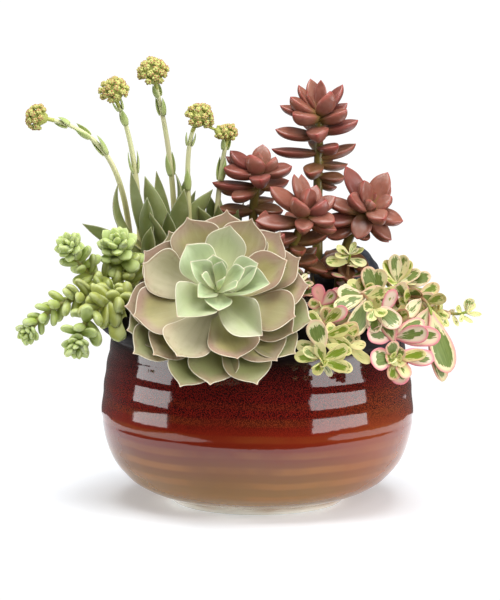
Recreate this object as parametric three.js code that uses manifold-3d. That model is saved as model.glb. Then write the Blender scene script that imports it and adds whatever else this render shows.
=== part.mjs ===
// A bowl of mixed succulents: one large echeveria rosette, a flowering crassula, a red-leaved sedum,
// trailing donkey's tail and a variegated stonecrop, rooted together in a glazed stoneware bowl with
// black river stones on the soil. Millimetres, +Z up. The origin is the middle of the bowl's flat foot,
// and -Y is the front, where the big rosette leans out over the rim.
import * as THREE from "three";
import { mergeVertices } from "three/addons/utils/BufferGeometryUtils.js";
import Module from "manifold-3d";

const wasm = await Module();
wasm.setup();

// Driving dimensions.
const FOOT_RADIUS = 62;
const BELLY_RADIUS = 115;
const NECK_RADIUS = 107.5;
const LIP_RADIUS = 119;
const RIM_HEIGHT = 148;
const WALL = 6;
const BOWL_SIDES = 32;
const SOIL_EDGE_HEIGHT = 136;
const SOIL_CROWN_HEIGHT = 147;
const SOIL_SIDES = 18;
const GAP = 0.3; // between pieces that touch
const BOWL_GAP = 0.4; // between the bowl and what it holds
const POINT_GROWTH = 4; // how much further than its sides a leaf's clearance reaches past its tip
const GOLDEN_TURN = 137.508;
const UNEVEN = { turn: 16, rise: 10, length: 0.16 }; // spread of the leaves that a rule places

const GLAZE_RED = { color: 0x6a2114, roughness: 0.16, metalness: 0 };
const SOIL_BROWN = { color: 0x2a211a, roughness: 0.95, metalness: 0 };
const STONE_BLACK = { color: 0x23242a, roughness: 0.35, metalness: 0 };
const ROSETTE_GREEN = { color: 0xb3b08f, roughness: 0.6, metalness: 0 };
const CRASSULA_GREEN = { color: 0x6f8a5c, roughness: 0.6, metalness: 0 };
const STALK_GREEN = { color: 0xb4bd86, roughness: 0.55, metalness: 0 };
const BUD_YELLOW = { color: 0xc2b552, roughness: 0.6, metalness: 0 };
const SEDUM_RED = { color: 0x9a4f42, roughness: 0.45, metalness: 0 };
const DONKEY_GREEN = { color: 0x9fb85a, roughness: 0.5, metalness: 0 };
const STONECROP_CREAM = { color: 0xc9cf93, roughness: 0.5, metalness: 0 };

const point = (x, y, z) => new THREE.Vector3(x, y, z);
const radians = THREE.MathUtils.degToRad;
const mix = THREE.MathUtils.lerp;

// A steady draw from -0.5 to 0.5 that depends only on its two seeds.
function jitter(seed, index) {
  const wave = Math.sin(seed * 127.1 + index * 311.7) * 43758.5453;
  return wave - Math.floor(wave) - 0.5;
}

// ---- closed skins and solids ----

// A sphere whose rings are moved to where place(station, corner) puts their corners. The end stations
// are points.
function skin(sides, stations, place) {
  const geometry = new THREE.SphereGeometry(1, sides, stations.length - 1);
  const position = geometry.getAttribute("position");
  for (let i = 0; i < position.count; i++) {
    const station = stations[Math.floor(i / (sides + 1))];
    const moved = place(station, (i % (sides + 1)) % sides);
    position.setXYZ(i, moved.x, moved.y, moved.z);
  }
  return geometry;
}

// A small polygon, its corners counted anticlockwise, with every side moved out by the same distance.
function widen(polygon, distance) {
  const last = polygon.length - 1;
  return polygon.map((corner, i) => {
    const before = corner.clone().sub(polygon[i === 0 ? last : i - 1]).normalize();
    const after = polygon[i === last ? 0 : i + 1].clone().sub(corner).normalize();
    const outward = new THREE.Vector2(before.y + after.y, -before.x - after.x);
    return corner.clone().addScaledVector(outward, distance / Math.max(0.1, 1 + before.dot(after)));
  });
}

// A closed geometry as a solid for joining and cutting, with its faces turned outwards.
function solid(geometry) {
  geometry.deleteAttribute("normal");
  geometry.deleteAttribute("uv");
  const merged = mergeVertices(geometry, 1e-4);
  const vertProperties = merged.getAttribute("position").array;
  const triVerts = new Uint32Array(merged.index.array);
  const made = new wasm.Manifold(new wasm.Mesh({ numProp: 3, vertProperties, triVerts }));
  if (made.volume() > 0) return made;
  for (let i = 0; i < triVerts.length; i += 3)
    [triVerts[i + 1], triVerts[i + 2]] = [triVerts[i + 2], triVerts[i + 1]];
  return new wasm.Manifold(new wasm.Mesh({ numProp: 3, vertProperties, triVerts }));
}

const join = (solids) => wasm.Manifold.union(solids);

// The largest body of a solid, with any hollow sealed inside it filled and any loose scrap dropped.
function largest(made) {
  return made.decompose().reduce((best, body) => (body.volume() > best.volume() ? body : best));
}

function meshOf(made, name, finish) {
  const { vertProperties, triVerts } = made.getMesh();
  const geometry = new THREE.BufferGeometry();
  geometry.setAttribute("position", new THREE.BufferAttribute(vertProperties, 3));
  geometry.setIndex(new THREE.BufferAttribute(triVerts, 1));
  const flat = geometry.toNonIndexed();
  flat.computeVertexNormals();
  const mesh = new THREE.Mesh(flat, new THREE.MeshStandardMaterial(finish));
  mesh.name = name;
  return mesh;
}

// ---- leaves and stems ----

// Stations along a leaf from its base to its tip: how far along, half width and half thickness, the last
// two as shares of the leaf's own.
const ROSETTE_LEAF = [
  [0, 0, 0],
  [0.3, 0.5, 1],
  [0.74, 1, 0.9],
  [0.93, 0.62, 0.6],
  [1, 0, 0],
];
const SEDUM_LEAF = [
  [0, 0, 0],
  [0.4, 0.95, 0.95],
  [0.76, 0.9, 0.85],
  [1, 0, 0],
];
const PLUMP_LEAF = [
  [0, 0, 0],
  [0.62, 1, 1],
  [1, 0, 0],
];
const LANCE_LEAF = [
  [0, 0, 0],
  [0.3, 1, 1],
  [0.75, 0.7, 0.7],
  [1, 0, 0],
];
const STONECROP_LEAF = [
  [0, 0, 0],
  [0.5, 0.85, 1],
  [0.84, 0.9, 0.8],
  [1, 0, 0],
];

// One leaf from its base to its tip. Its upper side looks towards face; curl bows its length that way,
// and cup lifts its edges by that share of its half width. With three sides it is flat above and keeled
// below. grow makes it that much larger all round.
function leaf({ base, tip, face, width, thick, curl = 0, cup = 0, shape, sides }, grow = 0) {
  const along = tip.clone().sub(base);
  const length = along.length();
  along.normalize();
  const up = face.clone().addScaledVector(along, -face.dot(along)).normalize();
  const side = along.clone().cross(up);
  const bow = radians(curl);
  const widest = sides === 3 ? Math.sin(Math.PI / 3) : 1;
  const section = (w, t) => {
    const corners = [];
    for (let i = 0; i < sides; i++) {
      const turn = (i / sides) * 2 * Math.PI;
      const across = (w * (width / 2) * Math.sin(turn)) / widest;
      const lift = cup * ((across * across) / (width / 2));
      corners.push(new THREE.Vector2(across, lift - t * (thick / 2) * Math.cos(turn)));
    }
    return corners;
  };
  const rings = shape.map(([v, w, t]) => {
    const end = w === 0;
    const reach = v * length + (end ? Math.sign(v - 0.5) * POINT_GROWTH * grow : 0);
    return { v, reach, corners: end ? null : widen(section(w, t), grow) };
  });
  return solid(
    skin(sides, rings, ({ v, reach, corners }, i) => {
      const across = corners ? corners[i].x : 0;
      const rise = corners ? corners[i].y : 0;
      const lean = bow * (v - 0.5);
      const lift = bow * length * 0.5 * v * (v - 1);
      return base
        .clone()
        .addScaledVector(along, reach - rise * Math.sin(lean))
        .addScaledVector(up, lift + rise * Math.cos(lean))
        .addScaledVector(side, across);
    }),
  );
}

// Two directions square to a stem's direction, from which leaves are counted round it. The first looks
// to the front, or up on a stem that itself points to the front, and the second to the right.
function around(tangent) {
  const upright = Math.abs(tangent.y) < 0.8;
  const first = upright ? point(0, -1, 0) : point(0, 0, 1);
  first.addScaledVector(tangent, -first.dot(tangent)).normalize();
  const second = tangent.clone().cross(first);
  return [first, upright ? second : second.negate()];
}

// A round stem along a curve, thinning from its foot to its end.
function stem(path, [footRadius, endRadius], sides, rings, grow = 0) {
  const { tangents, normals, binormals } = path.computeFrenetFrames(rings);
  const swell = grow / Math.cos(Math.PI / sides);
  const stations = [];
  for (let i = -1; i <= rings + 1; i++) stations.push(i);
  return solid(
    skin(sides, stations, (i, corner) => {
      const turn = (corner / sides) * 2 * Math.PI;
      const ring = THREE.MathUtils.clamp(i, 0, rings);
      const radius = i === ring ? mix(footRadius, endRadius, ring / rings) + swell : 0;
      return path
        .getPointAt(ring / rings)
        .addScaledVector(tangents[ring], i === ring ? 0 : Math.sign(i) * (endRadius + swell))
        .addScaledVector(normals[ring], radius * Math.cos(turn))
        .addScaledVector(binormals[ring], radius * Math.sin(turn));
    }),
  );
}

const curveOf = (points) => new THREE.CubicBezierCurve3(...points.map((p) => point(...p)));

// Where a leaf of a shoot grows: how far along the stem, its turn round it and its rise above square to
// it in degrees, and its length.
function shootLeaf(path, [t, turn, rise, length]) {
  const tangent = path.getTangent(t);
  const [first, second] = around(tangent);
  const outward = first
    .multiplyScalar(Math.cos(radians(turn)))
    .addScaledVector(second, Math.sin(radians(turn)));
  const base = path.getPoint(t);
  const tip = base
    .clone()
    .addScaledVector(outward, length * Math.cos(radians(rise)))
    .addScaledVector(tangent, length * Math.sin(radians(rise)));
  return { base, tip, face: tangent.clone().addScaledVector(outward, -0.01), length };
}

// Leaves placed by a rule, from the lowest to the one in the heart: one by one round the stem by the
// golden angle, or in crossed pairs.
function leafRows({ seed, count, first, crowd, start, length, rise, bend, shrink, pairs }) {
  const rows = [];
  for (let i = 0; i < count; i++) {
    const step = pairs ? Math.floor(i / 2) : i;
    const f = step / (pairs ? Math.ceil(count / 2) - 1 : count - 1);
    const turn = pairs ? start + step * 90 + (i % 2) * 180 : start + i * GOLDEN_TURN;
    rows.push([
      mix(1, first, Math.pow(1 - f, crowd)),
      turn + jitter(seed, i) * UNEVEN.turn,
      mix(rise[0], rise[1], Math.pow(f, bend)) + jitter(seed + 1, i) * UNEVEN.rise,
      mix(length[0], length[1], Math.pow(f, shrink)) * (1 + jitter(seed + 2, i) * UNEVEN.length),
    ]);
  }
  return rows;
}

// A stem with its leaves fused to it. grow gives the larger twin that clears a way for it.
function shoot({ path, radius, leaves, kind }, grow = 0) {
  const curve = curveOf(path);
  const grown = leaves.map((row) => {
    const { base, tip, face, length } = shootLeaf(curve, row);
    const width = length * kind.wide;
    const thick = Math.max(length * kind.thick, 1.4);
    return leaf({ ...kind, base, tip, face, width, thick }, grow);
  });
  return join([stem(curve, radius, 4, kind.rings, grow), ...grown]);
}

// ---- the glazed bowl: thrown stoneware with soft ridges and a rolled collar ----

const ridge = (height) => 0.7 * Math.cos(((height - 66) / 16) * 2 * Math.PI);

function bowlProfile() {
  const outer = [
    [0, 0],
    [FOOT_RADIUS, 0],
    [FOOT_RADIUS + 1, 4.2],
    [79, 9],
    [92, 16],
    [101.5, 25],
    [107.5, 34],
    [112, 46],
    [114, 56],
  ];
  for (let height = 66; height <= 114; height += 8) {
    const share = Math.max(0, (height - 66) / 58);
    const plain = mix(BELLY_RADIUS, NECK_RADIUS, Math.pow(share, 1.35));
    outer.push([plain + ridge(height), height]);
  }
  const collar = [
    [NECK_RADIUS, 124],
    [112.5, 128],
    [117.4, 133],
    [LIP_RADIUS, 141],
    [LIP_RADIUS - 1.4, RIM_HEIGHT - 1],
    [LIP_RADIUS - 5, RIM_HEIGHT],
    [LIP_RADIUS - 9, 141],
    [NECK_RADIUS - WALL, 130],
  ];
  const inner = [
    [BELLY_RADIUS - WALL - 1, 70],
    [104.5, 44],
    [90, 25],
    [66, 13],
    [0, 9],
  ];
  return [...outer, ...collar, ...inner].map(([r, z]) => new THREE.Vector2(r, z));
}

// The bowl, or with grow a twin whose wall is thicker by that much on every side.
function bowl(grow = 0) {
  const profile = bowlProfile();
  const last = profile.length - 1;
  const grown = profile.map((corner, i) => {
    const along = profile[Math.min(i + 1, last)].clone().sub(profile[Math.max(i - 1, 0)]).normalize();
    const moved = corner.clone().add(new THREE.Vector2(along.y, -along.x).multiplyScalar(grow));
    return i === 0 || i === last ? moved.setX(0) : moved;
  });
  return solid(new THREE.LatheGeometry(grown, BOWL_SIDES).rotateX(Math.PI / 2));
}

// ---- the soil: heaped towards the middle, a little uneven ----

function soil() {
  const radius = NECK_RADIUS - WALL - GAP - BOWL_GAP;
  const top = [
    [0, SOIL_CROWN_HEIGHT],
    [35, SOIL_CROWN_HEIGHT - 1],
    [68, SOIL_CROWN_HEIGHT - 5],
    [90, SOIL_EDGE_HEIGHT + 4],
    [radius, SOIL_EDGE_HEIGHT],
    [radius, 122],
    [BELLY_RADIUS - WALL - 2.4, 70],
    [103.2, 44.4],
    [89, 26],
    [65, 14],
    [0, 9.6],
  ];
  const profile = top.map(([r, z]) => new THREE.Vector2(r, z)).reverse();
  const geometry = new THREE.LatheGeometry(profile, SOIL_SIDES).rotateX(Math.PI / 2);
  const position = geometry.getAttribute("position");
  for (let i = 0; i < position.count; i++) {
    const [x, y, z] = [position.getX(i), position.getY(i), position.getZ(i)];
    const onTop = z > SOIL_EDGE_HEIGHT + 1 ? 1 : 0;
    position.setZ(i, z + onTop * 1.6 * Math.sin(x * 0.09 + 1) * Math.cos(y * 0.11));
  }
  return solid(geometry);
}

// ---- river stones ----

// Middle, the three half sizes and the turn of each stone.
const STONES = [
  { at: [66, 52, 161], half: [27, 19, 21], turn: 15 },
  { at: [-93, 22, 149], half: [15, 20, 11], turn: -10 },
  { at: [72, -62, 148], half: [17, 13, 9.5], turn: 30 },
  { at: [-60, 72, 154], half: [23, 18, 14], turn: 25 },
  { at: [6, 84, 152], half: [24, 16, 13], turn: -8 },
  { at: [-58, -34, 149], half: [15, 19, 10], turn: 12 },
];

function stone({ at, half, turn }, grow = 0) {
  const geometry = new THREE.SphereGeometry(1, 9, 5);
  geometry.rotateX(Math.PI / 2);
  geometry.scale(half[0] + grow, half[1] + grow, half[2] + grow);
  geometry.rotateZ(radians(turn));
  geometry.translate(...at);
  return solid(geometry);
}

// ---- the echeveria rosette ----

// It leans forward over the rim: its middle, its axis and the direction that runs up across its face.
const ROSETTE_AT = point(-29, -108, 172);
const ROSETTE_TILT = 38; // of its axis above the horizon
const ROSETTE_AXIS = point(0, -Math.cos(radians(ROSETTE_TILT)), Math.sin(radians(ROSETTE_TILT)));
const ROSETTE_UP = point(0, Math.sin(radians(ROSETTE_TILT)), Math.cos(radians(ROSETTE_TILT)));

// Each leaf's direction as a clock angle from the top, how far its tip lies from the axis, how high the
// tip and the base stand along the axis, its width, and its upward bow in degrees.
const ROSETTE_LEAVES = [
  // the lowest ring, pressed out over the rim and the soil
  [25, 66, 2, -12, 38, 22],
  [158, 78, -5, -13, 38, 8],
  [184, 73, -3, -12, 40, 10],
  [200, 79, -5, -13, 36, 8],
  [130, 76, -3, -13, 36, 14],
  [232, 79, -3, -12, 38, 16],
  [252, 73, -3, -13, 36, 16],
  [108, 75, 0, -12, 38, 18],
  [325, 64, 2, -12, 38, 22],
  // the outer ring
  [6, 65, 9, -9, 40, 26],
  [44, 67, 7, -9, 40, 24],
  [66, 68, 6, -9, 38, 24],
  [86, 70, 5, -9, 40, 22],
  [122, 67, 4, -9, 36, 22],
  [142, 71, 0, -9, 40, 18],
  [222, 70, 2, -9, 36, 20],
  [260, 70, 3, -9, 38, 22],
  [300, 64, 8, -9, 40, 26],
  // the broad middle ring
  [338, 59, 16, -6, 41, 30],
  [25, 60, 15, -6, 40, 30],
  [68, 55, 15, -5, 37, 30],
  [114, 63, 12, -5, 40, 26],
  [166, 62, 11, -5, 42, 24],
  [207, 65, 11, -4, 42, 24],
  [249, 67, 10, -5, 42, 26],
  [288, 59, 14, -5, 40, 28],
  // the inner ring
  [13, 44, 27, 0, 31, 30],
  [319, 33, 28, 2, 26, 26],
  [73, 31, 28, 3, 24, 26],
  [146, 50, 20, 2, 30, 22],
  [222, 38, 24, 2, 27, 24],
  [102, 36, 27, 4, 22, 24],
  // the heart
  [296, 15, 33, 8, 15, 14],
  [30, 17, 33, 8, 14, 14],
  [170, 27, 27, 6, 19, 20],
  [110, 16, 31, 9, 13, 14],
  [235, 12, 32, 10, 11, 12],
  [350, 8, 34, 12, 9, 8],
  [130, 6, 32, 12, 8, 8],
];

const ROSETTE_CORE = [14, 3]; // radius of the short stem inside the leaves, low down and at the heart

function rosetteLeaf([clock, reach, tipRise, baseRise, width, curl], grow) {
  const angle = radians(clock);
  const outward = ROSETTE_UP.clone()
    .multiplyScalar(Math.cos(angle))
    .addScaledVector(point(1, 0, 0), Math.sin(angle));
  const base = ROSETTE_AT.clone()
    .addScaledVector(ROSETTE_AXIS, baseRise)
    .addScaledVector(outward, 0.5 * mix(ROSETTE_CORE[0], ROSETTE_CORE[1], (baseRise + 15) / 30));
  const tip = ROSETTE_AT.clone().addScaledVector(ROSETTE_AXIS, tipRise).addScaledVector(outward, reach);
  const face = ROSETTE_AXIS.clone().addScaledVector(outward, -0.01);
  const thick = mix(1.4, 3, Math.min(1, width / 40));
  return leaf({ base, tip, face, width, thick, curl, cup: 0.22, shape: ROSETTE_LEAF, sides: 3 }, grow);
}

function rosette(grow = 0) {
  const foot = ROSETTE_AT.clone().addScaledVector(ROSETTE_AXIS, -15);
  const heart = ROSETTE_AT.clone().addScaledVector(ROSETTE_AXIS, 15);
  const path = curveOf([[-29, -66, 130], [-29, -70, 150], [-29, -82, 156], foot.toArray()]);
  const core = stem(new THREE.LineCurve3(foot, heart), ROSETTE_CORE, 8, 2, grow);
  const leaves = ROSETTE_LEAVES.map((row) => rosetteLeaf(row, grow));
  return join([stem(path, [7, 7], 6, 3, grow), core, ...leaves]);
}

// ---- the crassula: tufts of grey-green lance leaves, flower stalks and their heads of buds ----

// Each leaf: the height at which it leaves the short upright stem, its tip and its width.
const CRASSULA_TUFTS = {
  crassula_tuft_1: {
    foot: [-82, 12, 136],
    top: 184,
    leaves: [
      [170, -93, 12, 241, 9],
      [168, -100, 4, 227, 9],
      [168, -83, 2, 223, 11],
      [160, -81, -14, 208, 11],
      [158, -127, 2, 204, 10],
      [164, -76, 38, 216, 10],
      [170, -68, 4, 214, 10],
      [160, -104, 22, 206, 9],
    ],
  },
  crassula_tuft_2: {
    foot: [-64, 38, 137],
    top: 188,
    leaves: [
      [172, -82, 20, 240, 12],
      [174, -61, 26, 242, 10],
      [168, -52, 14, 220, 10],
      [170, -80, 52, 238, 10],
      [170, -42, 50, 230, 10],
      [164, -84, 70, 216, 10],
      [162, -64, 2, 202, 11],
      [160, -46, 66, 204, 9],
    ],
  },
  crassula_tuft_3: {
    foot: [-28, 56, 137],
    top: 188,
    leaves: [
      [176, -34, 50, 233, 9],
      [170, -15, 30, 218, 10],
      [168, -43, 30, 220, 9],
      [172, -10, 60, 222, 9],
      [172, -26, 76, 224, 9],
      [164, -52, 72, 208, 9],
      [162, -4, 84, 200, 9],
    ],
  },
  crassula_tuft_4: {
    foot: [-44, 84, 136],
    top: 172,
    leaves: [
      [160, -70, 98, 196, 9],
      [158, -40, 108, 204, 9],
      [156, -22, 104, 190, 9],
      [162, -54, 92, 216, 9],
    ],
  },
};

function crassulaTuft({ foot, top, leaves }, grow = 0) {
  const [x, y] = foot;
  const trunk = new THREE.LineCurve3(point(...foot), point(x, y, top));
  const blades = leaves.map(([height, tipX, tipY, tipZ, width]) => {
    const base = point(x, y, height);
    const tip = point(tipX, tipY, tipZ);
    const face = point(x - tipX, y - tipY, 30);
    return leaf({ base, tip, face, width, thick: 5, curl: 26, cup: 0.15, shape: LANCE_LEAF, sides: 3 }, grow);
  });
  return join([stem(trunk, [5.5, 4.5], 6, 1, grow), ...blades]);
}

// Flower stalks: the curve, and where along it the small clasping leaves stand.
const STALKS = [
  { path: [[-92, 30, 136], [-92, 20, 232], [-104, 6, 272], [-152, -2, 284]], nodes: [0.62, 0.76, 0.9] },
  { path: [[-88, 46, 136], [-84, 34, 225], [-93, 28, 270], [-103, 25, 292]], nodes: [0.5, 0.8, 0.93] },
  { path: [[-62, 56, 136], [-58, 46, 225], [-68, 38, 275], [-75, 35, 304]], nodes: [0.46, 0.78, 0.91] },
  { path: [[-46, 40, 136], [-51, 35, 215], [-55, 33, 252], [-47, 29, 273]], nodes: [0.5, 0.82] },
  { path: [[-36, 40, 136], [-30, 38, 215], [-27, 38, 245], [-23, 38, 261]], nodes: [0.6, 0.9] },
];
const STALK_RADIUS = [2.6, 1.9];

function stalk({ path, nodes }, number, grow = 0) {
  const curve = curveOf(path);
  const bracts = [];
  nodes.forEach((t, level) => {
    const tangent = curve.getTangent(t);
    const [front, flank] = around(tangent);
    const size = mix(15, 8.5, level / (nodes.length - 1));
    for (const end of [0, 180]) {
      const angle = radians(end + 60 + level * 90 + number * 40);
      const outward = front.clone().multiplyScalar(Math.cos(angle)).addScaledVector(flank, Math.sin(angle));
      const base = curve.getPoint(t);
      const tip = base
        .clone()
        .addScaledVector(tangent, size * 0.95)
        .addScaledVector(outward, 3.6);
      const face = outward.clone().negate();
      bracts.push(
        leaf({ base, tip, face, width: 5.8, thick: 2.8, shape: PLUMP_LEAF, sides: 3 }, grow),
      );
    }
  });
  return join([stem(curve, STALK_RADIUS, 4, 6, grow), ...bracts]);
}

// Bud heads: the way each dome faces from the end of its stalk, and its radius.
const HEADS = [
  { facing: [-0.97, -0.1, 0.2], radius: 10 },
  { facing: [-0.2, -0.3, 0.93], radius: 10.5 },
  { facing: [-0.15, -0.3, 0.95], radius: 11.5 },
  { facing: [0.45, -0.25, 0.86], radius: 11, side: { toward: [15, 0, -3], radius: 5.5 } },
  { facing: [0.2, -0.25, 0.95], radius: 7.5 },
];
const BUDS = 15;
const SIDE_BUDS = 9;
const BUD_WIDTH = 0.5; // of its head's radius

function budDome(foot, axis, radius, count, grow) {
  const [first, second] = around(axis);
  const middle = foot.clone().addScaledVector(axis, radius * 0.7);
  const core = leaf(
    {
      base: foot,
      tip: middle.clone().addScaledVector(axis, radius * 0.8),
      face: first,
      width: radius * 1.4,
      thick: radius * 1.4,
      shape: PLUMP_LEAF,
      sides: 6,
    },
    grow,
  );
  const buds = [];
  for (let i = 0; i < count; i++) {
    const polar = Math.acos(1 - (1.45 * (i + 0.5)) / count);
    const turn = radians(i * GOLDEN_TURN);
    const outward = axis
      .clone()
      .multiplyScalar(Math.cos(polar))
      .addScaledVector(first, Math.sin(polar) * Math.cos(turn))
      .addScaledVector(second, Math.sin(polar) * Math.sin(turn));
    const tip = middle.clone().addScaledVector(outward, radius * (1 + jitter(i, 3) * 0.1));
    const base = middle.clone().addScaledVector(outward, radius * 0.25);
    const width = radius * BUD_WIDTH;
    buds.push(leaf({ base, tip, face: first, width, thick: width, shape: PLUMP_LEAF, sides: 3 }, grow));
  }
  return [core, ...buds];
}

// A head starts a hair above its stalk's end. A side cluster hangs on a twig of its own.
function budHead({ facing, radius, side }, number, grow = 0) {
  const curve = curveOf(STALKS[number].path);
  const tangent = curve.getTangent(1);
  const foot = curve.getPoint(1).addScaledVector(tangent, STALK_RADIUS[1] + GAP);
  const axis = point(...facing).normalize();
  const parts = budDome(foot, axis, radius, BUDS, grow);
  if (side) {
    const end = foot.clone().add(point(...side.toward));
    const start = foot.clone().addScaledVector(axis, radius * 0.35);
    const outward = end.clone().sub(start).normalize();
    parts.push(stem(new THREE.LineCurve3(start, end), [1.4, 1.2], 4, 1, grow));
    parts.push(...budDome(end, outward, side.radius, SIDE_BUDS, grow));
  }
  return join(parts);
}

// ---- leafy shoots: what they share, and each shoot's own curve and leaves ----

const RED_KIND = { rings: 4, shape: SEDUM_LEAF, sides: 3, wide: 0.42, thick: 0.34, curl: 14, cup: 0.1 };
const RED_SHOOTS = [
  {
    path: [[45, 46, 138], [44, 46, 200], [45, 50, 240], [47, 48, 280]],
    radius: [4.2, 3],
    leaves: [
      [0.5, 120, -5, 26],
      [0.5, 250, 0, 30],
      [0.62, 340, -8, 21],
      [0.66, 200, 0, 28],
      [0.72, 268, 2, 34],
      [0.72, 92, 12, 33],
      [0.76, 55, 6, 26],
      [0.83, 275, 8, 31],
      [0.85, 5, -12, 22],
      [0.88, 85, 14, 32],
      [0.88, 215, 15, 28],
      [0.9, 310, 14, 27],
      [0.92, 75, 32, 30],
      [0.92, 262, 24, 30],
      [0.95, 110, 42, 28],
      [0.96, 290, 38, 26],
      [0.97, 40, 42, 25],
      [0.98, 240, 55, 23],
      [0.99, 120, 62, 25],
      [1, 60, 76, 24],
      [1, 190, 78, 24],
    ],
  },
  {
    path: [[10, 42, 138], [-2, 46, 180], [-8, 44, 205], [2, 38, 238]],
    radius: [4, 3],
    leaves: [
      [0.55, 275, 0, 30],
      [0.58, 60, 0, 27],
      [0.66, 230, 0, 28],
      [0.76, 255, 2, 31],
      [0.78, 310, -14, 26],
      [0.8, 95, 4, 30],
      [0.82, 175, 0, 28],
      [0.88, 10, 0, 23],
      [0.9, 285, 18, 30],
      [0.93, 90, 26, 27],
      [0.93, 225, 24, 28],
      [0.96, 292, 48, 28],
      [0.96, 335, 38, 24],
      [0.98, 72, 52, 21],
      [0.98, 180, 50, 24],
      [1, 230, 64, 20],
      [1, 20, 72, 17],
      [1, 130, 74, 18],
    ],
  },
  {
    path: [[24, 12, 138], [22, 14, 172], [24, 4, 192], [37, -4, 214]],
    radius: [4, 3],
    leaves: [
      [0.52, 60, -4, 33],
      [0.54, 325, -8, 25],
      [0.64, 255, 2, 30],
      [0.72, 80, -6, 31],
      [0.74, 150, -2, 28],
      [0.78, 278, 12, 33],
      [0.8, 10, -14, 23],
      [0.84, 72, 6, 31],
      [0.86, 215, 10, 28],
      [0.9, 288, 42, 31],
      [0.92, 330, 28, 24],
      [0.94, 84, 34, 31],
      [0.96, 245, 56, 27],
      [0.97, 60, 48, 27],
      [0.98, 165, 50, 24],
      [1, 30, 66, 24],
      [1, 205, 72, 27],
      [1, 300, 76, 20],
    ],
  },
  {
    path: [[60, 20, 138], [60, 26, 172], [64, 16, 196], [82, 4, 216]],
    radius: [4, 3],
    leaves: [
      [0.56, 290, -10, 27],
      [0.6, 20, -16, 25],
      [0.74, 255, 6, 31],
      [0.76, 62, -24, 30],
      [0.8, 345, -24, 27],
      [0.82, 160, 0, 28],
      [0.86, 52, -14, 29],
      [0.88, 225, 14, 28],
      [0.9, 85, 2, 30],
      [0.92, 295, 22, 24],
      [0.93, 28, 8, 25],
      [0.94, 115, 28, 28],
      [0.96, 262, 52, 31],
      [0.96, 78, 34, 24],
      [0.98, 140, 54, 29],
      [0.99, 325, 58, 24],
      [1, 40, 70, 17],
      [1, 220, 74, 18],
    ],
  },
  {
    path: [[-8, 8, 136], [-10, 8, 160], [-6, 4, 180], [2, -4, 194]],
    radius: [4, 3],
    leaves: [
      [0.5, 270, 4, 28],
      [0.56, 150, 0, 28],
      [0.62, 30, 0, 26],
      [0.7, 215, 6, 29],
      [0.76, 90, 8, 29],
      [0.84, 300, 14, 28],
      [0.88, 175, 18, 27],
      [0.92, 60, 24, 28],
      [0.95, 245, 36, 27],
      [0.98, 120, 48, 25],
      [1, 340, 56, 22],
      [1, 200, 66, 22],
      [1, 80, 74, 18],
    ],
  },
];

const DONKEY_KIND = { rings: 6, shape: PLUMP_LEAF, sides: 4, wide: 0.46, thick: 0.44, curl: 0, cup: 0 };
const DONKEY_RULE = { count: 20, first: 0.36, crowd: 1.1, rise: [22, 74], bend: 3, shrink: 3 };
const DONKEY_SHOOTS = [
  {
    path: [[-90, -6, 134], [-98, -8, 168], [-124, -16, 160], [-139, -28, 196]],
    leaves: leafRows({ ...DONKEY_RULE, seed: 31, start: 0, length: [15, 8] }),
  },
  {
    path: [[-86, 2, 134], [-92, -2, 160], [-98, -8, 178], [-103, -18, 199]],
    leaves: leafRows({ ...DONKEY_RULE, seed: 37, start: 40, length: [17, 10] }),
  },
  {
    path: [[-86, -30, 134], [-96, -32, 170], [-142, -42, 166], [-172, -50, 134]],
    leaves: leafRows({ ...DONKEY_RULE, seed: 41, start: 15, length: [16, 8], count: 22 }),
  },
  {
    path: [[-82, -42, 134], [-94, -46, 170], [-126, -62, 160], [-132, -78, 126]],
    leaves: leafRows({ ...DONKEY_RULE, seed: 43, start: 80, length: [18, 9] }),
  },
].map((row) => ({ ...row, radius: [2.6, 2] }));

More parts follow.
